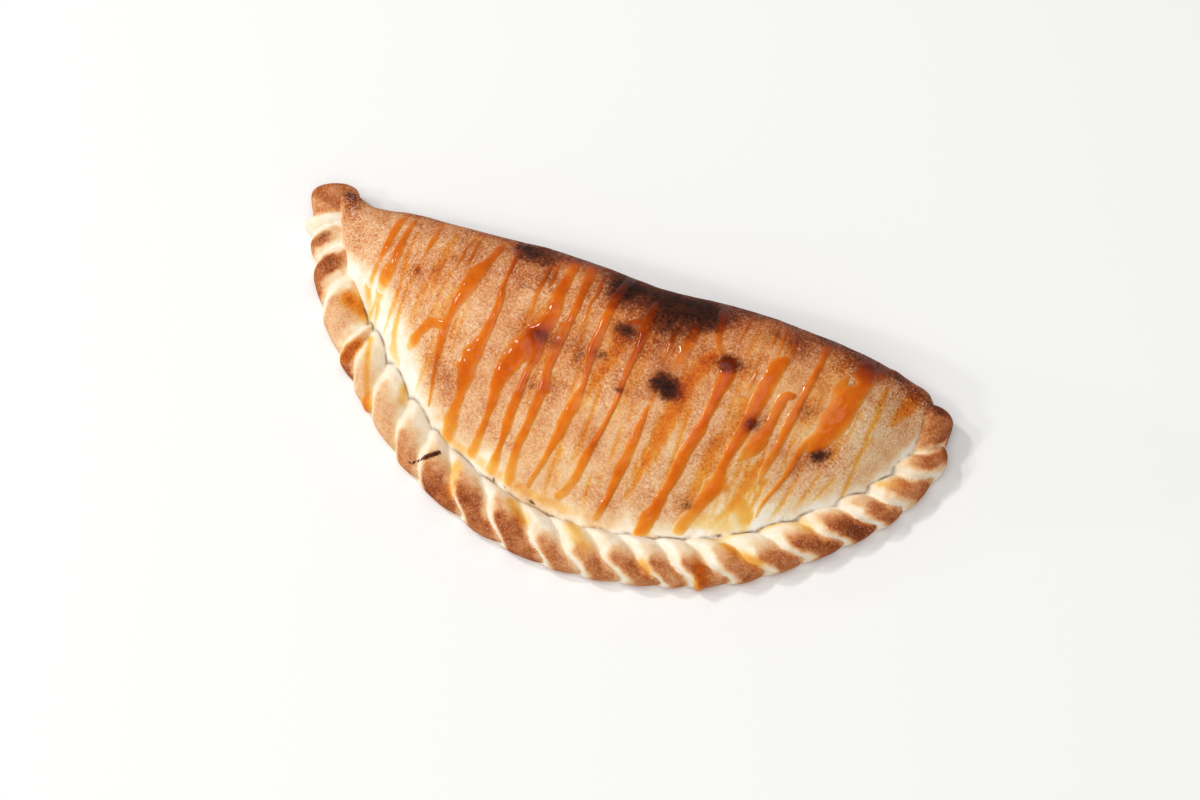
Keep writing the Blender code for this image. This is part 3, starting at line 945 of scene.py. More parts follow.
EDGE_CHARS: tuple[EdgeSpot, ...] = (
    EdgeSpot((134.2, -8.6), (136.6, -4), 0.45, 0.95), EdgeSpot((137.2, -2.5), (139.3, 3.6), 0.95, 1.1),
    EdgeSpot((59, 4), (64, 8), 4, 0.24), EdgeSpot((26, -5), (26, -4), 3, 0.35),
    EdgeSpot((388, -3), (392, 6), 4, 0.45), EdgeSpot((308, -7), (311, -8), 2.6, 0.3),
    EdgeSpot((324, -6), (327, -8), 2.8, 0.35), EdgeSpot((186, -8), (187, -9), 2.6, 0.25),
    EdgeSpot((3, 4), (8, 9), 3.4, 0.22),
)
DRIPS: tuple[EdgeSpot, ...] = (
    EdgeSpot((101, -9.5), (103, -10.4), 1.5, 1.1), EdgeSpot((261, -9.8), (261.5, -10.6), 1.3, 1.6),
)


# ----------------------------------------
# Shader graphs
# ----------------------------------------


@dataclass
class Flow:
    """A node's output that takes part in sums of numbers."""

    graph: Graph
    socket: bpy.types.NodeSocket

    def _maths(self, operation: str, first: Flow | float, second: Flow | float) -> Flow:
        """Adds a Math node."""
        return self.graph.node("ShaderNodeMath", {"operation": operation}, {0: first, 1: second})

    def __add__(self, other: Flow | float) -> Flow:
        """Adds."""
        return self._maths("ADD", self, other)

    def __radd__(self, other: float) -> Flow:
        """Adds, from the right."""
        return self._maths("ADD", other, self)

    def __sub__(self, other: Flow | float) -> Flow:
        """Subtracts."""
        return self._maths("SUBTRACT", self, other)

    def __rsub__(self, other: float) -> Flow:
        """Subtracts, from the right."""
        return self._maths("SUBTRACT", other, self)

    def __mul__(self, other: Flow | float) -> Flow:
        """Multiplies."""
        return self._maths("MULTIPLY", self, other)

    def __rmul__(self, other: float) -> Flow:
        """Multiplies, from the right."""
        return self._maths("MULTIPLY", other, self)

    def between(self, low: float, high: float) -> Flow:
        """Rises smoothly from 0 at low to 1 at high."""
        return self.graph.node("ShaderNodeMapRange", {"interpolation_type": "SMOOTHSTEP"},
                               {"Value": self, "From Min": low, "From Max": high})

    def limited(self) -> Flow:
        """Keeps the number between 0 and 1."""
        return self.graph.node("ShaderNodeClamp", {}, {"Value": self})


class Graph:
    """A material's node tree, and the ways its nodes are added."""

    def __init__(self, name: str) -> None:
        """Starts a material with an empty Principled BSDF."""
        self.material = bpy.data.materials.new(name)
        self.material.use_nodes = True
        self.tree = self.material.node_tree
        self.shader = self.tree.nodes["Principled BSDF"]

    def _feed(self, socket: bpy.types.NodeSocket, value: object) -> None:
        """Links a flow to a socket, or sets the socket's own value."""
        if isinstance(value, Flow):
            self.tree.links.new(value.socket, socket)
        elif isinstance(value, tuple) and len(value) == 3 and socket.type == "RGBA":
            socket.default_value = (*value, 1.0)
        else:
            socket.default_value = value

    def node(self, kind: str, settings: dict, sockets: dict, output: int | str = 0) -> Flow:
        """Adds a node.

        Args:
            kind: The node's type.
            settings: Its own settings, set first; "stops" are a colour ramp's.
            sockets: Values or flows for its inputs, by name or number.
            output: Which output is wanted.

        Returns:
            That output.
        """
        node = self.tree.nodes.new(kind)
        for name, value in settings.items():
            if name == "stops":
                self._set_stops(node.color_ramp, value)
            else:
                setattr(node, name, value)
        for key, value in sockets.items():
            self._feed(node.inputs[key], value)
        return Flow(self, node.outputs[output])

    @staticmethod
    def _set_stops(ramp: bpy.types.ColorRamp, stops: Stops) -> None:
        """Fills a colour ramp with its stops."""
        while len(ramp.elements) < len(stops):
            ramp.elements.new(1.0)
        for element, (place, colour) in zip(ramp.elements, stops):
            element.position = place
            element.color = (*colour, 1.0)

    def value(self, name: str) -> Flow:
        """Reads one of the mesh's point values."""
        return self.node("ShaderNodeAttribute", {"attribute_name": name}, {}, "Fac")

    def noise(self, size: float, detail: float = 2.0) -> Flow:
        """Adds noise whose features are size millimetres wide."""
        place = self.node("ShaderNodeTexCoord", {}, {}, "Object")
        sockets = {"Vector": place, "Scale": 1 / (size * MM), "Detail": detail}
        return self.node("ShaderNodeTexNoise", {}, sockets)

    def ramp(self, factor: Flow, stops: Stops) -> Flow:
        """Turns a number into a colour."""
        return self.node("ShaderNodeValToRGB", {"stops": stops}, {0: factor}, "Color")

    def mix(self, factor: Flow | float, first: Flow | Colour, second: Flow | Colour,
            blend: str = "MIX") -> Flow:
        """Mixes two colours."""
        return self.node("ShaderNodeMix", {"data_type": "RGBA", "blend_type": blend},
                         {0: factor, 6: first, 7: second}, 2)

    def set(self, name: str, value: object) -> None:
        """Sets or links one of the Principled BSDF's sockets."""
        self._feed(self.shader.inputs[name], value)

    def bump(self, height: Flow, distance: float, strength: float) -> None:
        """Raises the surface's shading by a height, over a distance in millimetres."""
        self.set("Normal", self.node("ShaderNodeBump", {}, {"Height": height, "Distance": distance * MM,
                                                            "Strength": strength}))


# ----------------------------------------
# Finishes
# ----------------------------------------

TOAST_COLOURS: Stops = (
    (0.00, (0.935, 0.885, 0.780)),
    (0.14, (0.900, 0.760, 0.560)),
    (0.30, (0.830, 0.570, 0.320)),
    (0.46, (0.750, 0.415, 0.205)),
    (0.60, (0.625, 0.258, 0.096)),
    (0.74, (0.445, 0.132, 0.037)),
    (0.87, (0.262, 0.054, 0.012)),
    (1.00, (0.120, 0.022, 0.007)),
)
# What thicker and thicker sauce lets through of the crust under it, up to GLAZE_DEEPEST millimetres.
GLAZE_COLOURS: Stops = (
    (0.00, (1.00, 1.00, 1.00)),
    (0.10, (0.98, 0.83, 0.52)),
    (0.25, (0.95, 0.61, 0.17)),
    (0.50, (0.93, 0.44, 0.06)),
    (0.75, (0.91, 0.33, 0.026)),
    (1.00, (0.87, 0.23, 0.01)),
)
GLAZE_DEEPEST = 1.6
# The sauce's own colour by its depth, and how toasted crust under it darkens it; up the fold this darkening
# is partly painted shade.
SAUCE_COLOURS: Stops = (
    (0.00, (0.88, 0.30, 0.02)),
    (0.40, (0.78, 0.19, 0.008)),
    (0.80, (0.62, 0.11, 0.003)),
)
SAUCE_DARKENING_AND_FOLD_SHADE: Stops = (
    (0.58, (1.00, 1.00, 1.00)),
    (0.76, (0.56, 0.36, 0.26)),
    (0.90, (0.28, 0.13, 0.10)),
)


@dataclass(frozen=True)
class CrustFinish:
    """Baked dough: toasted colour, flour grains, char, sauce stains, painted shade in the crease between
    belly and edge, and a fine dry skin.
    """

    flour_colour: Colour = (0.90, 0.74, 0.58)
    char_colour: Colour = (0.010, 0.004, 0.003)
    scorch_colour: Colour = (0.120, 0.026, 0.010)
    # Colour of the painted shade in the crease where the belly and the edge meet.
    crease_shade_colour: Colour = (0.150, 0.062, 0.022)
    roughness: float = 0.80
    # How much smoother wet crust is.
    wet_gloss: float = 0.30
    bump_distance: float = 0.30
    bump_strength: float = 0.75
    # The sizes of the colour's specks and of its mottling, in millimetres.
    speck_size: float = 0.95
    mottle_size: float = 3.4

    def dough_colour(self, graph: Graph) -> Flow:
        """Works out the colour of bare crust from the mesh's toast, flour and char.

        Args:
            graph: The material's graph.

        Returns:
            The colour.
        """
        toast, flour, char = graph.value("toast"), graph.value("flour"), graph.value("char")
        speckled = (graph.noise(self.speck_size, 3.0) - 0.5) * (flour * 0.50 + 0.24)
        speckled = speckled * toast.between(0.05, 0.45)
        mottled = (graph.noise(self.mottle_size, 3.0) - 0.5) * 0.26
        colour = graph.ramp((toast + speckled + mottled).limited(), TOAST_COLOURS)
        dusted = graph.noise(0.8, 2.0).between(0.52, 0.68) * graph.noise(2.6, 1.0).between(0.34, 0.60)
        colour = graph.mix((dusted * flour * 0.52).limited(), colour, self.flour_colour)
        ragged = (graph.noise(1.5, 3.0) - 0.5) * 1.1 + (graph.noise(5.0, 2.0) - 0.5) * 0.7
        burnt = char + ragged * char.between(0.03, 0.35)
        colour = graph.mix(burnt.between(0.08, 0.62) * 0.94, colour, self.scorch_colour)
        embers = graph.noise(2.2, 3.0).between(0.58, 0.34) * 0.26 + 0.70
        return graph.mix(burnt.between(0.50, 0.95) * embers, colour, self.char_colour)

    def material(self) -> bpy.types.Material:
        """Makes the crust's material.

        Returns:
            The material.
        """
        graph = Graph("baked_crust")
        colour = self.dough_colour(graph)
        # Paints shade into the crease where the belly and the edge nearly touch.
        colour = graph.mix((graph.value("crease") * 0.9).limited(), colour, self.crease_shade_colour)
        film = graph.value("stain")
        stain = film + (graph.noise(1.4, 2.0) - 0.5) * 0.22 * film.between(0.02, 0.3)
        glaze = graph.ramp((stain * (1 / GLAZE_DEEPEST)).limited(), GLAZE_COLOURS)
        graph.set("Base Color", graph.mix(1.0, colour, glaze, "MULTIPLY"))
        wet = stain.between(0.04, 0.30)
        graph.set("Roughness", self.roughness - wet * self.wet_gloss)
        height = graph.noise(0.85, 2.0) * 0.55 + graph.noise(2.6, 2.0) * 0.9
        graph.bump(height * (1 - wet * 0.6), self.bump_distance, self.bump_strength)
        graph.set("IOR", 1.40)
        graph.set("Specular IOR Level", 0.15)
        return graph.material


@dataclass(frozen=True)
class GlazeFinish:
    """Glossy orange sauce, through which the crust shows where the sauce is thin."""

    own_share: float = 0.45
    roughness: float = 0.03
    dry_roughness: float = 0.55

    def material(self, crust: CrustFinish) -> bpy.types.Material:
        """Makes the sauce's material.

        Args:
            crust: The finish of the crust under it.

        Returns:
            The material.
        """
        graph = Graph("sauce_glaze")
        depth = (graph.value("depth") * (1 / GLAZE_DEEPEST)).limited()
        through = graph.mix(1.0, crust.dough_colour(graph), graph.ramp(depth, GLAZE_COLOURS), "MULTIPLY")
        # Darkens the sauce over toasted and burnt crust; up the fold this also paints shade onto the sauce.
        under = (graph.value("toast") + graph.value("char") * 0.7).limited()
        own = graph.mix(1.0, graph.ramp(depth, SAUCE_COLOURS), graph.ramp(under, SAUCE_DARKENING_AND_FOLD_SHADE), "MULTIPLY")
        graph.set("Base Color", graph.mix(depth.between(0.02, 0.7) * self.own_share, through, own))
        dull = graph.noise(4.0, 2.0) * 0.05 + graph.value("dry") * self.dry_roughness
        graph.set("Roughness", self.roughness + dull)
        graph.bump(graph.noise(2.4, 1.0), 0.10, 0.35)
        graph.set("IOR", 1.40)
        graph.set("Specular IOR Level", 0.24)
        return graph.material


@dataclass(frozen=True)
class FloorFinish:
    """Plain pale matte floor."""

    colour: Colour = (0.90, 0.90, 0.89)
    roughness: float = 0.9

    def material(self) -> bpy.types.Material:
        """Makes the floor's material."""
        graph = Graph("pale_floor")
        graph.set("Base Color", self.colour)
        graph.set("Roughness", self.roughness)
        return graph.material


# ----------------------------------------
# The pieces
# ----------------------------------------


def settle(item: bpy.types.Object, slot: Slot, material: bpy.types.Material) -> None:
    """Dresses a piece, hangs it under the frame's body and hides the CAD part it stands for.

    Args:
        item: The piece.
        slot: Not used.
        material: Its material.
    """
    item.data.materials.append(material)
    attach(item, BODY)
    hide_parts(NODE)
    LOG.info("%s: %d points, %d faces", item.name, len(item.data.vertices), len(item.data.polygons))


# How many times its reach away a skin is still looked for.
SEARCH_REACHES = 3


def closeness(plan: MeshPlan, other: MeshPlan, reach: float) -> np.ndarray:
    """Says how near one skin's points lie to another skin.

    Args:
        plan: The skin whose points are asked about.
        other: The other skin.
        reach: The distance at which nearness has fallen to about a third.

    Returns:
        1 on the other skin, falling to 0 away from it.
    """
    tree = BVHTree.FromPolygons(other.points.tolist(), other.faces)
    near = np.zeros(len(plan.points))
    for index, point in enumerate(plan.points.tolist()):
        _, _, _, gap = tree.find_nearest(point, reach * SEARCH_REACHES)
        if gap is not None:
            near[index] = math.exp(-(gap / reach) ** 2)
    return near


@dataclass(frozen=True)
class Belly:
    """The belly's skin: top, folded back and underside in one closed mesh."""

    form: BellyForm = BellyForm()
    # How brown the crust is by x, from where on the way up the fold browns it more, and how much more; the
    # darkening up the fold is partly real browning and partly painted shade.
    tone: SmoothLine = SmoothLine((
        (-134, 0.43), (-112, 0.45), (-92, 0.52), (-60, 0.50), (-30, 0.46), (30, 0.47), (95, 0.45),
        (112, 0.38), (134, 0.40)))
    fold_start: SmoothLine = SmoothLine((
        (-134, 0.84), (-100, 0.80), (-60, 0.76), (-25, 0.71), (40, 0.68), (80, 0.68), (104, 0.63),
        (118, 0.66), (134, 0.60)))
    fold_toast_and_shade: SmoothLine = SmoothLine(((-134, 0.20), (-60, 0.26), (-20, 0.36), (60, 0.38), (134, 0.40)))
    # How far up, by x, the pale band along the seam reaches, as a share of the way.
    pale_edge: SmoothLine = SmoothLine((
        (-134, 0.15), (-122, 0.28), (-113, 0.37), (-104, 0.39), (-95, 0.37), (-85, 0.32), (-75, 0.25),
        (-62, 0.17), (-45, 0.12), (-20, 0.10), (10, 0.065), (40, 0.09), (60, 0.13), (80, 0.17), (95, 0.15),
        (110, 0.16), (118, 0.17), (123, 0.20), (128, 0.26), (134, 0.42)))
    browning: Layers = ((0.08, 28, 51), (0.09, 11, 52), (0.06, 4.5, 53))
    seam_browning: Layers = ((0.07, 7, 59), (0.05, 3, 60))
    film_patches: Layers = ((0.06, 5, 61), (0.05, 16, 62))
    # How much browner the upper slope and the crust round burnt spots are, and how much paler the pale band
    # and the back's foot.
    slope_toast: float = 0.10
    halo_toast: float = 0.30
    seam_paler: float = 0.47
    foot_paler: float = 0.20
    under_toast: float = 0.60
    # How much deeper than drawn the thin runs are, and how deep the film between all runs is, in mm.
    stain_gain: float = 1.35
    film_depth: float = 0.03
    sections: int = 280
    top_columns: int = 135
    back_columns: int = 34
    under_columns: int = 26
    # How much of the sections' spacing crowds towards both ends, and how high the back's foot ends, in mm.
    crowding: float = 0.72
    foot_height: float = 0.4
    # The thin threads of sauce between the chosen runs: how many, the seed, and the limits between which
    # their top, their length, their x, their drift along x, their half-width and their depth lie.
    threads: int = 58
    thread_seed: int = 7
    thread_tops: Place = (0.35, 0.9)
    thread_lengths: Place = (0.12, 0.4)
    thread_starts: Place = (-104, 118)
    thread_drifts: Place = (-2.5, 1.0)
    thread_halves: Place = (0.35, 0.8)
    thread_depths: Place = (0.22, 0.50)
    lowest_thread: float = 0.10

    def places(self, x: np.ndarray, points: np.ndarray, share: np.ndarray) -> BellyPlaces:
        """Gathers what is known of places on the belly.

        Args:
            x: The sections.
            points: The places by section and column.
            share: Their shares of the way, by column or by section and column.

        Returns:
            The places.
        """
        blank = np.zeros(points.shape[:2])
        return BellyPlaces(points, share + blank, self.form.run(x)[:, None] + blank)

    def char(self, places: BellyPlaces) -> np.ndarray:
        """Works out the burnt spots' strength."""
        return strongest(patch.spread(places) for patch in CHARS)

    def toast(self, places: BellyPlaces) -> np.ndarray:
        """Works out how brown the skin is, from 0 for pale dough to 1 for dark brown, with painted shade
        added up the fold.

        Args:
            places: Where on the skin.

        Returns:
            The browning.
        """
        x, share, points = places.x, places.share, places.points
        toast = self.tone.at(x) + grains(points, self.browning)
        toast = toast + self.slope_toast * smooth_step(share, 0.28, 0.72)
        toast = toast + sum(patch.spread(places, 0.0, 2.0) for patch in BLUSHES)
        halo = strongest(min(patch.strength, 1.0) * patch.spread(places, 3.5, 1.8) for patch in CHARS)
        toast = toast + self.halo_toast * halo
        pale = self.pale_edge.at(x) + 0.035 * Grain(9, 54).at(x[..., None]) + 0.02 * Grain(3.4, 63).at(points)
        paler = self.seam_paler + grains(points, self.seam_browning)
        toast = toast - paler * smooth_step(share, pale + 0.10, pale - 0.07)
        # Darker up the fold: partly real browning, partly painted shade where the fold turns away from the
        # light.
        dark = self.fold_start.at(x) + 0.03 * Grain(16, 58).at(x[..., None])
        toast = toast + self.fold_toast_and_shade.at(x) * smooth_step(share, dark, dark + 0.22)
        toast = toast - self.foot_paler * smooth_step(share, 1.10, 1.25)
        return np.clip(toast, 0.0, 1.0)

    def sauce_threads(self) -> Iterable[Streak]:
        """Scatters thin threads of sauce between the chosen runs."""
        rng = np.random.default_rng(self.thread_seed)
        for _ in range(self.threads):
            top = rng.uniform(*self.thread_tops)
            low = max(top - rng.uniform(*self.thread_lengths), self.lowest_thread)
            start = rng.uniform(*self.thread_starts)
            drift = rng.uniform(*self.thread_drifts)
            half = rng.uniform(*self.thread_halves)
            depth = rng.uniform(*self.thread_depths)
            yield Streak(depth, ((start, top, half), (start + drift, low, half)))

    def stain(self, places: BellyPlaces) -> np.ndarray:
        """Works out how thick the thin film of sauce is, in millimetres."""
        x, share = places.x, places.share
        up_the_fold = smooth_step(share, 0.74, 0.85)
        films = [self.stain_gain * streak.thickness(places, 0.22) for streak in STAINS]
        films += [streak.thickness(places) * up_the_fold for streak in STREAKS]
        films += [thread.thickness(places, 0.25) for thread in self.sauce_threads()]
        drawn_out = np.stack([x, share * places.run * 0.3], axis=-1)
        film = self.film_depth + grains(drawn_out, self.film_patches)
        film = film * smooth_step(x, -40, 10) * smooth_step(x, 124, 100) * smooth_step(share, 0.12, 0.22)
        return strongest(films + [film * smooth_step(share, 1.1, 1.0)])

    def plan(self) -> MeshPlan:
        """Lays out the mesh.

        Returns:
            The plan.
        """
        form = self.form
        turn = np.linspace(0, math.pi, self.sections)
        spread = self.crowding * np.cos(turn) + (1 - self.crowding) * np.linspace(1, -1, self.sections)
        x = (form.start + form.end) / 2 - (form.end - form.start) / 2 * spread
        shares = np.concatenate([np.linspace(0, 1, self.top_columns),
                                 np.linspace(1, form.FOOT_SHARE, self.back_columns + 1)[1:]])
        skin, _ = form.surface(x, shares)
        back, front = skin[:, -1:] * (1, 1, 0), skin[:, :1] * (1, 1, 0)
        under = back + (front - back) * np.linspace(0, 1, self.under_columns + 1)[:, None]
        skin[:, -1, 2] = np.maximum(skin[:, -1, 2], self.foot_height)
        below = np.full(self.under_columns + 1, form.FOOT_SHARE)
        places = self.places(x, np.concatenate([skin, under], axis=1), np.concatenate([shares, below]))
        dusted = smooth_step(places.x, 85, 110) + 0.6 * smooth_step(places.x, -50, -80)
        flour = 0.75 + 0.35 * Grain(14, 57).at(places.points)
        flour = flour * smooth_step(places.share * places.run, 4, 24)
        values = {"toast": self.toast(places), "char": self.char(places), "stain": self.stain(places),
                  "flour": flour * (1 + 0.5 * dusted)}
        values["toast"][:, len(shares):] = self.under_toast + 0.16 * Grain(16, 55).at(under)
        values["char"][:, len(shares):] = np.clip(Grain(11, 56).at(under) - 0.30, 0, 1) * 1.2
        return ring_skin("dough_belly", places.points, values)


@dataclass(frozen=True)
class TwistedEdge:
    """The crimped edge's skin, one closed mesh."""

    form: EdgeForm = EdgeForm()
    rings: int = 470
    around: int = 68
    # How much the rings' spacing varies along the rim, as a share of its length.
    crowding: float = 0.010
    map_bands: int = 3
    # How brown the strands' backs, the right tip, the left knob and the underside are, and the flanks' tone.
    back_brown: float = 0.79
    tip_brown: float = 0.78
    knob_brown: float = 0.62
    under_toast: float = 0.55
    flank_toast: float = 0.03
    # How uneven the limits of the browning are, and the strand's width at which it is drawn.
    fuzz: Layers = ((0.10, 5, 71), (0.07, 2.4, 72))
    drawn_width: float = 13.0
    # How deep the film on a drip is, in mm.
    drip_film: float = 0.8

    def brown(self, points: np.ndarray, places: EdgePlaces) -> np.ndarray:
        """Works out how much the strands are browned.

        Args:
            points: Places on the edge's skin.
            places: Where they lie along and across the edge.

        Returns:
            The browning: strong on the strands' outer backs, little on their flanks and inner ends.
        """
        along, phase = places.along, places.phase
        outward = self.form.outward(places.across)
        fuzz = grains(points, self.fuzz)
        flank = phase * np.maximum(places.width / self.drawn_width, 1)
        flank = flank - places.of_strand("pale") / self.drawn_width
        left = smooth_step(along, 64, 40)
        kept = 0.45 * (1 - left) * smooth_step(outward, 0.3, 0.9)
        side = 1 - smooth_step(phase + fuzz + 0.08 * left, 0.80, 1.0) * (0.85 - kept)
        reach = places.of_strand("reach")
        brown = self.back_brown * places.of_strand("toast") * smooth_step(flank + fuzz, 0.12, 0.46) * side
        brown = brown * smooth_step(outward + fuzz, 0.38 - 0.66 * reach, 1.04 - 0.54 * reach)
        brown = brown * (1 + 0.20 * Grain(8, 73).at(points))
        past = along - self.form.rim.length
        inside = smooth_step(outward + fuzz, 0.34, 0.06) * smooth_step(past, -8, -16)
        brown = np.maximum(brown, self.tip_brown * smooth_step(past, -15, -5))
        brown = brown * (1 - 0.85 * inside * smooth_step(past, -42, -32))
        knob = self.knob_brown * smooth_step(along, 18, 12) * (1 + 0.25 * Grain(5, 77).at(points))
        return np.maximum(brown, knob)

    def plan(self) -> MeshPlan:
        """Lays out the mesh.

        Returns:
            The plan.
        """
        form = self.form
        ease = np.linspace(0, 1, self.rings)
        along = form.rim.length * (ease - self.crowding * np.sin(2 * math.pi * ease))
        turn = np.linspace(0, 2 * math.pi, self.around, endpoint=False)
        points, places = form.skin(along, turn)
        brown = self.brown(points, places)
        toast = self.flank_toast + 0.05 * (1 + Grain(7, 74).at(points)) + brown
        toast = np.where(points[..., 2] < 0.6, self.under_toast + 0.2 * Grain(9, 75).at(points), toast)
        char = strongest(spot.at(places) for spot in EDGE_CHARS)
        stain = strongest(spot.at(places) for spot in EDGE_SAUCE)
        stain = stain * (points[..., 2] > 2.0) * (0.85 + 0.3 * Grain(4, 76).at(points))
        _, inward = form.rim.stations(along)
        for drip in DRIPS:
            swell = drip.at(places)
            points[..., :2] -= inward[:, None] * (swell * (points[..., 2] > 1.0))[..., None]
            stain = np.maximum(stain, self.drip_film * np.clip(swell, 0, 1))
        flour = (0.30 + 0.10 * smooth_step(places.along, 130, 90)) * smooth_step(brown, 0.1, 0.4)
        values = {"toast": np.clip(toast, 0, 1), "stain": stain, "char": char, "flour": flour}
        return ring_skin("dough_edge", points, values, self.map_bands)


@dataclass(frozen=True)
class Sauce:
    """The drizzled sauce: one closed mesh of all the runs, sunk a little into the crust under them."""

    belly: Belly
    # The grid it is cut from: its step along x, how far short of the belly's two ends it stays, its columns,
    # and the shares of the way between which they lie.
    step: float = 0.6
    short_of_ends: Place = (4, 2)
    columns: int = 200
    grid_shares: Place = (0.02, 1.16)
    # How much of the thickness stands out; the rest fills the crust's pores.
    relief: float = 0.70
    deepest: float = 0.55
    bed: float = 0.9
    # How much the sauce thins out, in millimetres, from one share of the way to the other.
    thinning: float = 1.4
    thins_over: Place = (0.78, 0.93)
    dries_over: Place = (0.68, 0.84)
    # On the map, the height of the bottom's strip, where the top begins and how high it is.
    BOTTOM_STRIP = 0.045
    TOP_START = 0.06
    TOP_STRIP = 0.93
    # How often corner-only contacts are looked for.
    REPAIRS = 6

    def plan(self) -> MeshPlan:
        """Lays out the mesh.

        Returns:
            The plan.
        """
        form = self.belly.form
        before, after = self.short_of_ends
        x = np.arange(form.start + before, form.end - after, self.step)
        shares = np.linspace(*self.grid_shares, self.columns)
        points, normals = form.surface(x, shares)
        places = self.belly.places(x, points, shares)
        thick = reduce(np.maximum, (streak.thickness(places) for streak in STREAKS))
        thick = thick - sum(hole.spread(places) for hole in HOLES)
        thick = thick + 0.05 * Grain(3, 82).at(points)
        thick = thick - self.thinning * smooth_step(places.share, *self.thins_over)
        kept = self._cells(thick)
        used = np.zeros(thick.shape, bool)
        for row, column in ((0, 0), (1, 0), (0, 1), (1, 1)):
            used[row:row + kept.shape[0], column:column + kept.shape[1]] |= kept
        number = np.full(thick.shape, -1)
        number[used] = np.arange(used.sum())
        faces, uvs = self._faces(kept, number, int(used.sum()))
        top = points + normals * np.maximum(self.relief * thick, -self.deepest)[..., None]
        bottom = points - normals * self.bed
        values = {"depth": np.clip(thick, 0, None), "toast": self.belly.toast(places),
                  "char": self.belly.char(places), "flour": np.zeros(thick.shape),
                  "dry": smooth_step(places.share, *self.dries_over)}
        doubled = {name: np.concatenate([item[used], item[used]]) for name, item in values.items()}
        slab = np.concatenate([top[used], bottom[used]])
        return MeshPlan("sauce_drizzle", slab, faces, uvs, doubled).face_out()

    def _cells(self, thick: np.ndarray) -> np.ndarray:
        """Picks the grid's cells that hold sauce, with one more all round and no corner-only contacts.

        Args:
            thick: The thickness at the grid's points.

        Returns:
            Whether each cell is kept.
        """
        wet = thick > 0
        cells = wet[:-1, :-1] | wet[1:, :-1] | wet[:-1, 1:] | wet[1:, 1:]
        padded = np.pad(cells, 1)
        rows, columns = cells.shape
        wide = cells.copy()
        for down, right in np.ndindex(3, 3):
            wide |= padded[down:down + rows, right:right + columns]
        for _ in range(self.REPAIRS):
            falling = wide[:-1, :-1] & wide[1:, 1:] & ~wide[1:, :-1] & ~wide[:-1, 1:]
            rising = ~wide[:-1, :-1] & ~wide[1:, 1:] & wide[1:, :-1] & wide[:-1, 1:]
            wide[1:, :-1] |= falling
            wide[:-1, :-1] |= rising
        return wide

    def _faces(self, kept: np.ndarray, number: np.ndarray, count: int) -> tuple[list, list]:
        """Lists the faces of the slab: its top, its bottom and its sides.

        Args:
            kept: Which cells are kept.
            number: Each grid point's number, -1 for an unused one.
            count: How many points the top has.

        Returns:
            The faces, and the map places of their corners.
        """
        rows, columns = kept.shape
        faces, uvs = [], []

        def add_face(corners: tuple[tuple[int, int, bool], ...]) -> None:
            """Adds a face by its corners: row, column and whether it lies low.

            On the map the top fills the upper part, and the bottom a strip under it.
            """
            faces.append(tuple(int(number[row, column]) + count * low for row, column, low in corners))
            for row, column, low in corners:
                start, strip = (MAP_EDGE, self.BOTTOM_STRIP) if low else (self.TOP_START, self.TOP_STRIP)
                uvs.append((MAP_EDGE + MAP_SIZE * row / rows, start + strip * column / columns))

        padded = np.pad(kept, 1)
        beside = ((0, -1), (1, 0), (0, 1), (-1, 0))
        for row, column in zip(*np.nonzero(kept)):
            corners = ((row, column), (row + 1, column), (row + 1, column + 1), (row, column + 1))
            add_face(tuple((*corner, False) for corner in corners))
            add_face(tuple((*corner, True) for corner in corners[::-1]))
            for side, (down, right) in enumerate(beside):
                if not padded[row + 1 + down, column + 1 + right]:
                    first, second = corners[side], corners[(side + 1) % 4]
                    add_face(((*second, False), (*first, False), (*first, True), (*second, True)))
        return faces, uvs


@dataclass(frozen=True)
class Calzone:
    """The whole calzone."""

    belly: Belly = Belly()
    edge: TwistedEdge = TwistedEdge()
    # How near the belly and the edge lie to each other where the painted shade in the crease between them is
    # darkest, in mm.
    crease_shade_reach: float = 0.62
    # Where along the rim the crease's painted shade fades in and out.
    crease_shade_start: Place = (56, 66)
    crease_shade_end: Place = (400, 392)
    # How patchy the crease's painted shade is along the rim.
    crease_shade_patches: Layers = ((0.60, 5, 91), (0.35, 1.6, 92))

    def crease(self, plan: MeshPlan, other: MeshPlan) -> np.ndarray:
        """Works out how dark the painted shade in the crease is where one skin meets the other.

        Args:
            plan: The skin.
            other: The other skin.

        Returns:
            The strength of the crease's painted shade at the skin's points.
        """
        along = self.edge.form.rim.along(plan.points[:, :2])
        patchy = 0.55 + grains(along[:, None], self.crease_shade_patches)
        patchy = patchy * smooth_step(along, *self.crease_shade_start) * smooth_step(along, *self.crease_shade_end)
        return closeness(plan, other, self.crease_shade_reach) * np.clip(patchy, 0, 1) * (plan.points[:, 2] > 3)

    def build(self) -> None:
        """Makes and dresses every piece."""
        belly, edge, sauce = self.belly.plan(), self.edge.plan(), Sauce(self.belly).plan()
        # The painted shade in the crease goes onto both skins.
        belly.values["crease"] = self.crease(belly, edge)
        edge.values["crease"] = self.crease(edge, belly)
        crust = CrustFinish()
        dough = crust.material()
        settle(belly.build(), Slot.CRUST, dough)
        settle(edge.build(), Slot.CRUST, dough)
        settle(sauce.build(), Slot.GLAZE, GlazeFinish().material(crust))


@dataclass(frozen=True)
class SoftLight:
    """A square soft light that faces the calzone.

    turn is its direction from the calzone in degrees, anticlockwise from +X, rise its height above the table
    in degrees, distance and size are metres, and power is watts.
    """

    name: str
    turn: float
    rise: float
    distance: float
    size: float
    power: float

    def add(self) -> None:
        """Adds the light to the scene."""
        light = bpy.data.lights.new(self.name, "AREA")
        light.shape = "SQUARE"
        light.size = self.size
        light.energy = self.power
        item = bpy.data.objects.new(self.name, light)
        turn, rise = math.radians(self.turn), math.radians(self.rise)
        flat = self.distance * math.cos(rise)
        item.location = (flat * math.cos(turn), flat * math.sin(turn), self.distance * math.sin(rise))
        item.rotation_euler = (-item.location).to_track_quat("-Z", "Y").to_euler()
        bpy.context.scene.collection.objects.link(item)


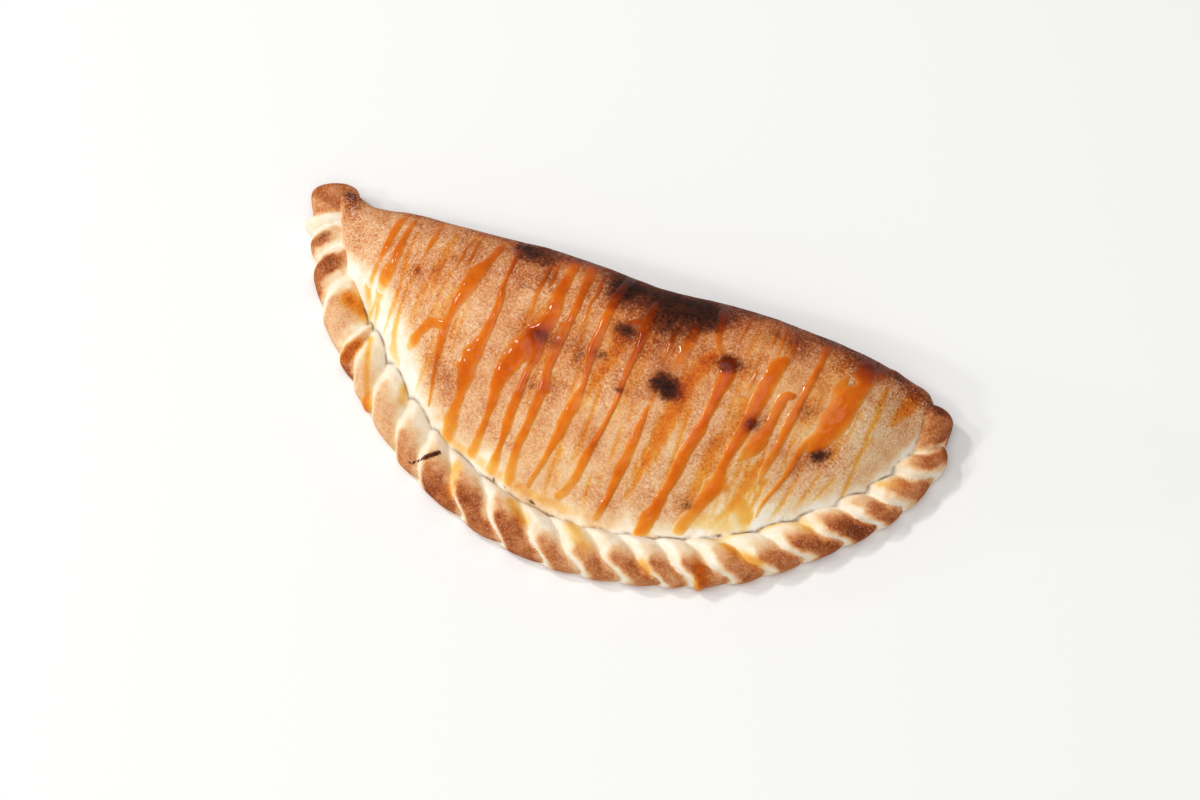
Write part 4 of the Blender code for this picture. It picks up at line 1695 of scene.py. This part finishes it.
@dataclass(frozen=True)
class Studio:
    """The pale floor, the soft lights and the camera.

    The camera looks at target in plan, in millimetres, turned round the calzone and risen above the table
    by so many degrees, from a distance in metres, with a lens in millimetres.
    """

    target: Place = (2.0, 13.8)
    turn: float = 22.0
    rise: float = 68.0
    distance: float = 1.2
    lens: float = 85.0
    # The key and three glints stand to the left, and a wide panel hangs overhead.
    lights: tuple[SoftLight, ...] = (
        SoftLight("key", 172, 50, 3.4, 0.34, 31),
        SoftLight("glint", 194, 44, 3.4, 0.24, 14),
        SoftLight("low_glint", 212, 37, 3.4, 0.24, 13),
        SoftLight("edge_glint", 193, 14, 3.4, 0.24, 9),
        SoftLight("sky_panel", 282, 72, 3.6, 3.2, 62),
    )
    surroundings: float = 0.32
    floor_size: float = 6.0

    def add_floor(self) -> None:
        """Lays the floor under the calzone."""
        bpy.ops.mesh.primitive_plane_add(size=self.floor_size, location=(0, 0, CAD_BOX[0][2]))
        floor = bpy.context.object
        floor.name = "floor"
        floor.data.materials.append(FloorFinish().material())

    def add_surroundings(self) -> None:
        """Makes the plain white room that the scene stands in."""
        world = bpy.data.worlds.new("pale_room")
        bpy.context.scene.world = world
        world.use_nodes = True
        background = world.node_tree.nodes["Background"]
        background.inputs["Color"].default_value = (1.0, 1.0, 1.0, 1.0)
        background.inputs["Strength"].default_value = self.surroundings

    def add_camera(self) -> None:
        """Adds the camera and makes it the scene's."""
        turn, rise = math.radians(self.turn), math.radians(self.rise)
        back = Vector((math.sin(turn) * math.cos(rise), -math.cos(turn) * math.cos(rise), math.sin(rise)))
        camera = bpy.data.cameras.new("camera")
        camera.lens = self.lens
        item = bpy.data.objects.new("camera", camera)
        target = Vector((self.target[0] * MM, self.target[1] * MM, CAD_BOX[0][2]))
        item.location = target + back * self.distance
        item.rotation_euler = back.to_track_quat("Z", "Y").to_euler()
        bpy.context.scene.collection.objects.link(item)
        bpy.context.scene.camera = item

    def build(self) -> None:
        """Sets up the floor, the lights and the camera."""
        self.add_floor()
        for light in self.lights:
            light.add()
        self.add_surroundings()
        self.add_camera()
        bpy.context.scene.view_settings.view_transform = "Standard"


def main() -> None:
    """Builds the studio and the calzone."""
    logging.basicConfig(level=logging.INFO)
    Studio().build()
    Calzone().build()


if __name__ == "__main__":
    main()
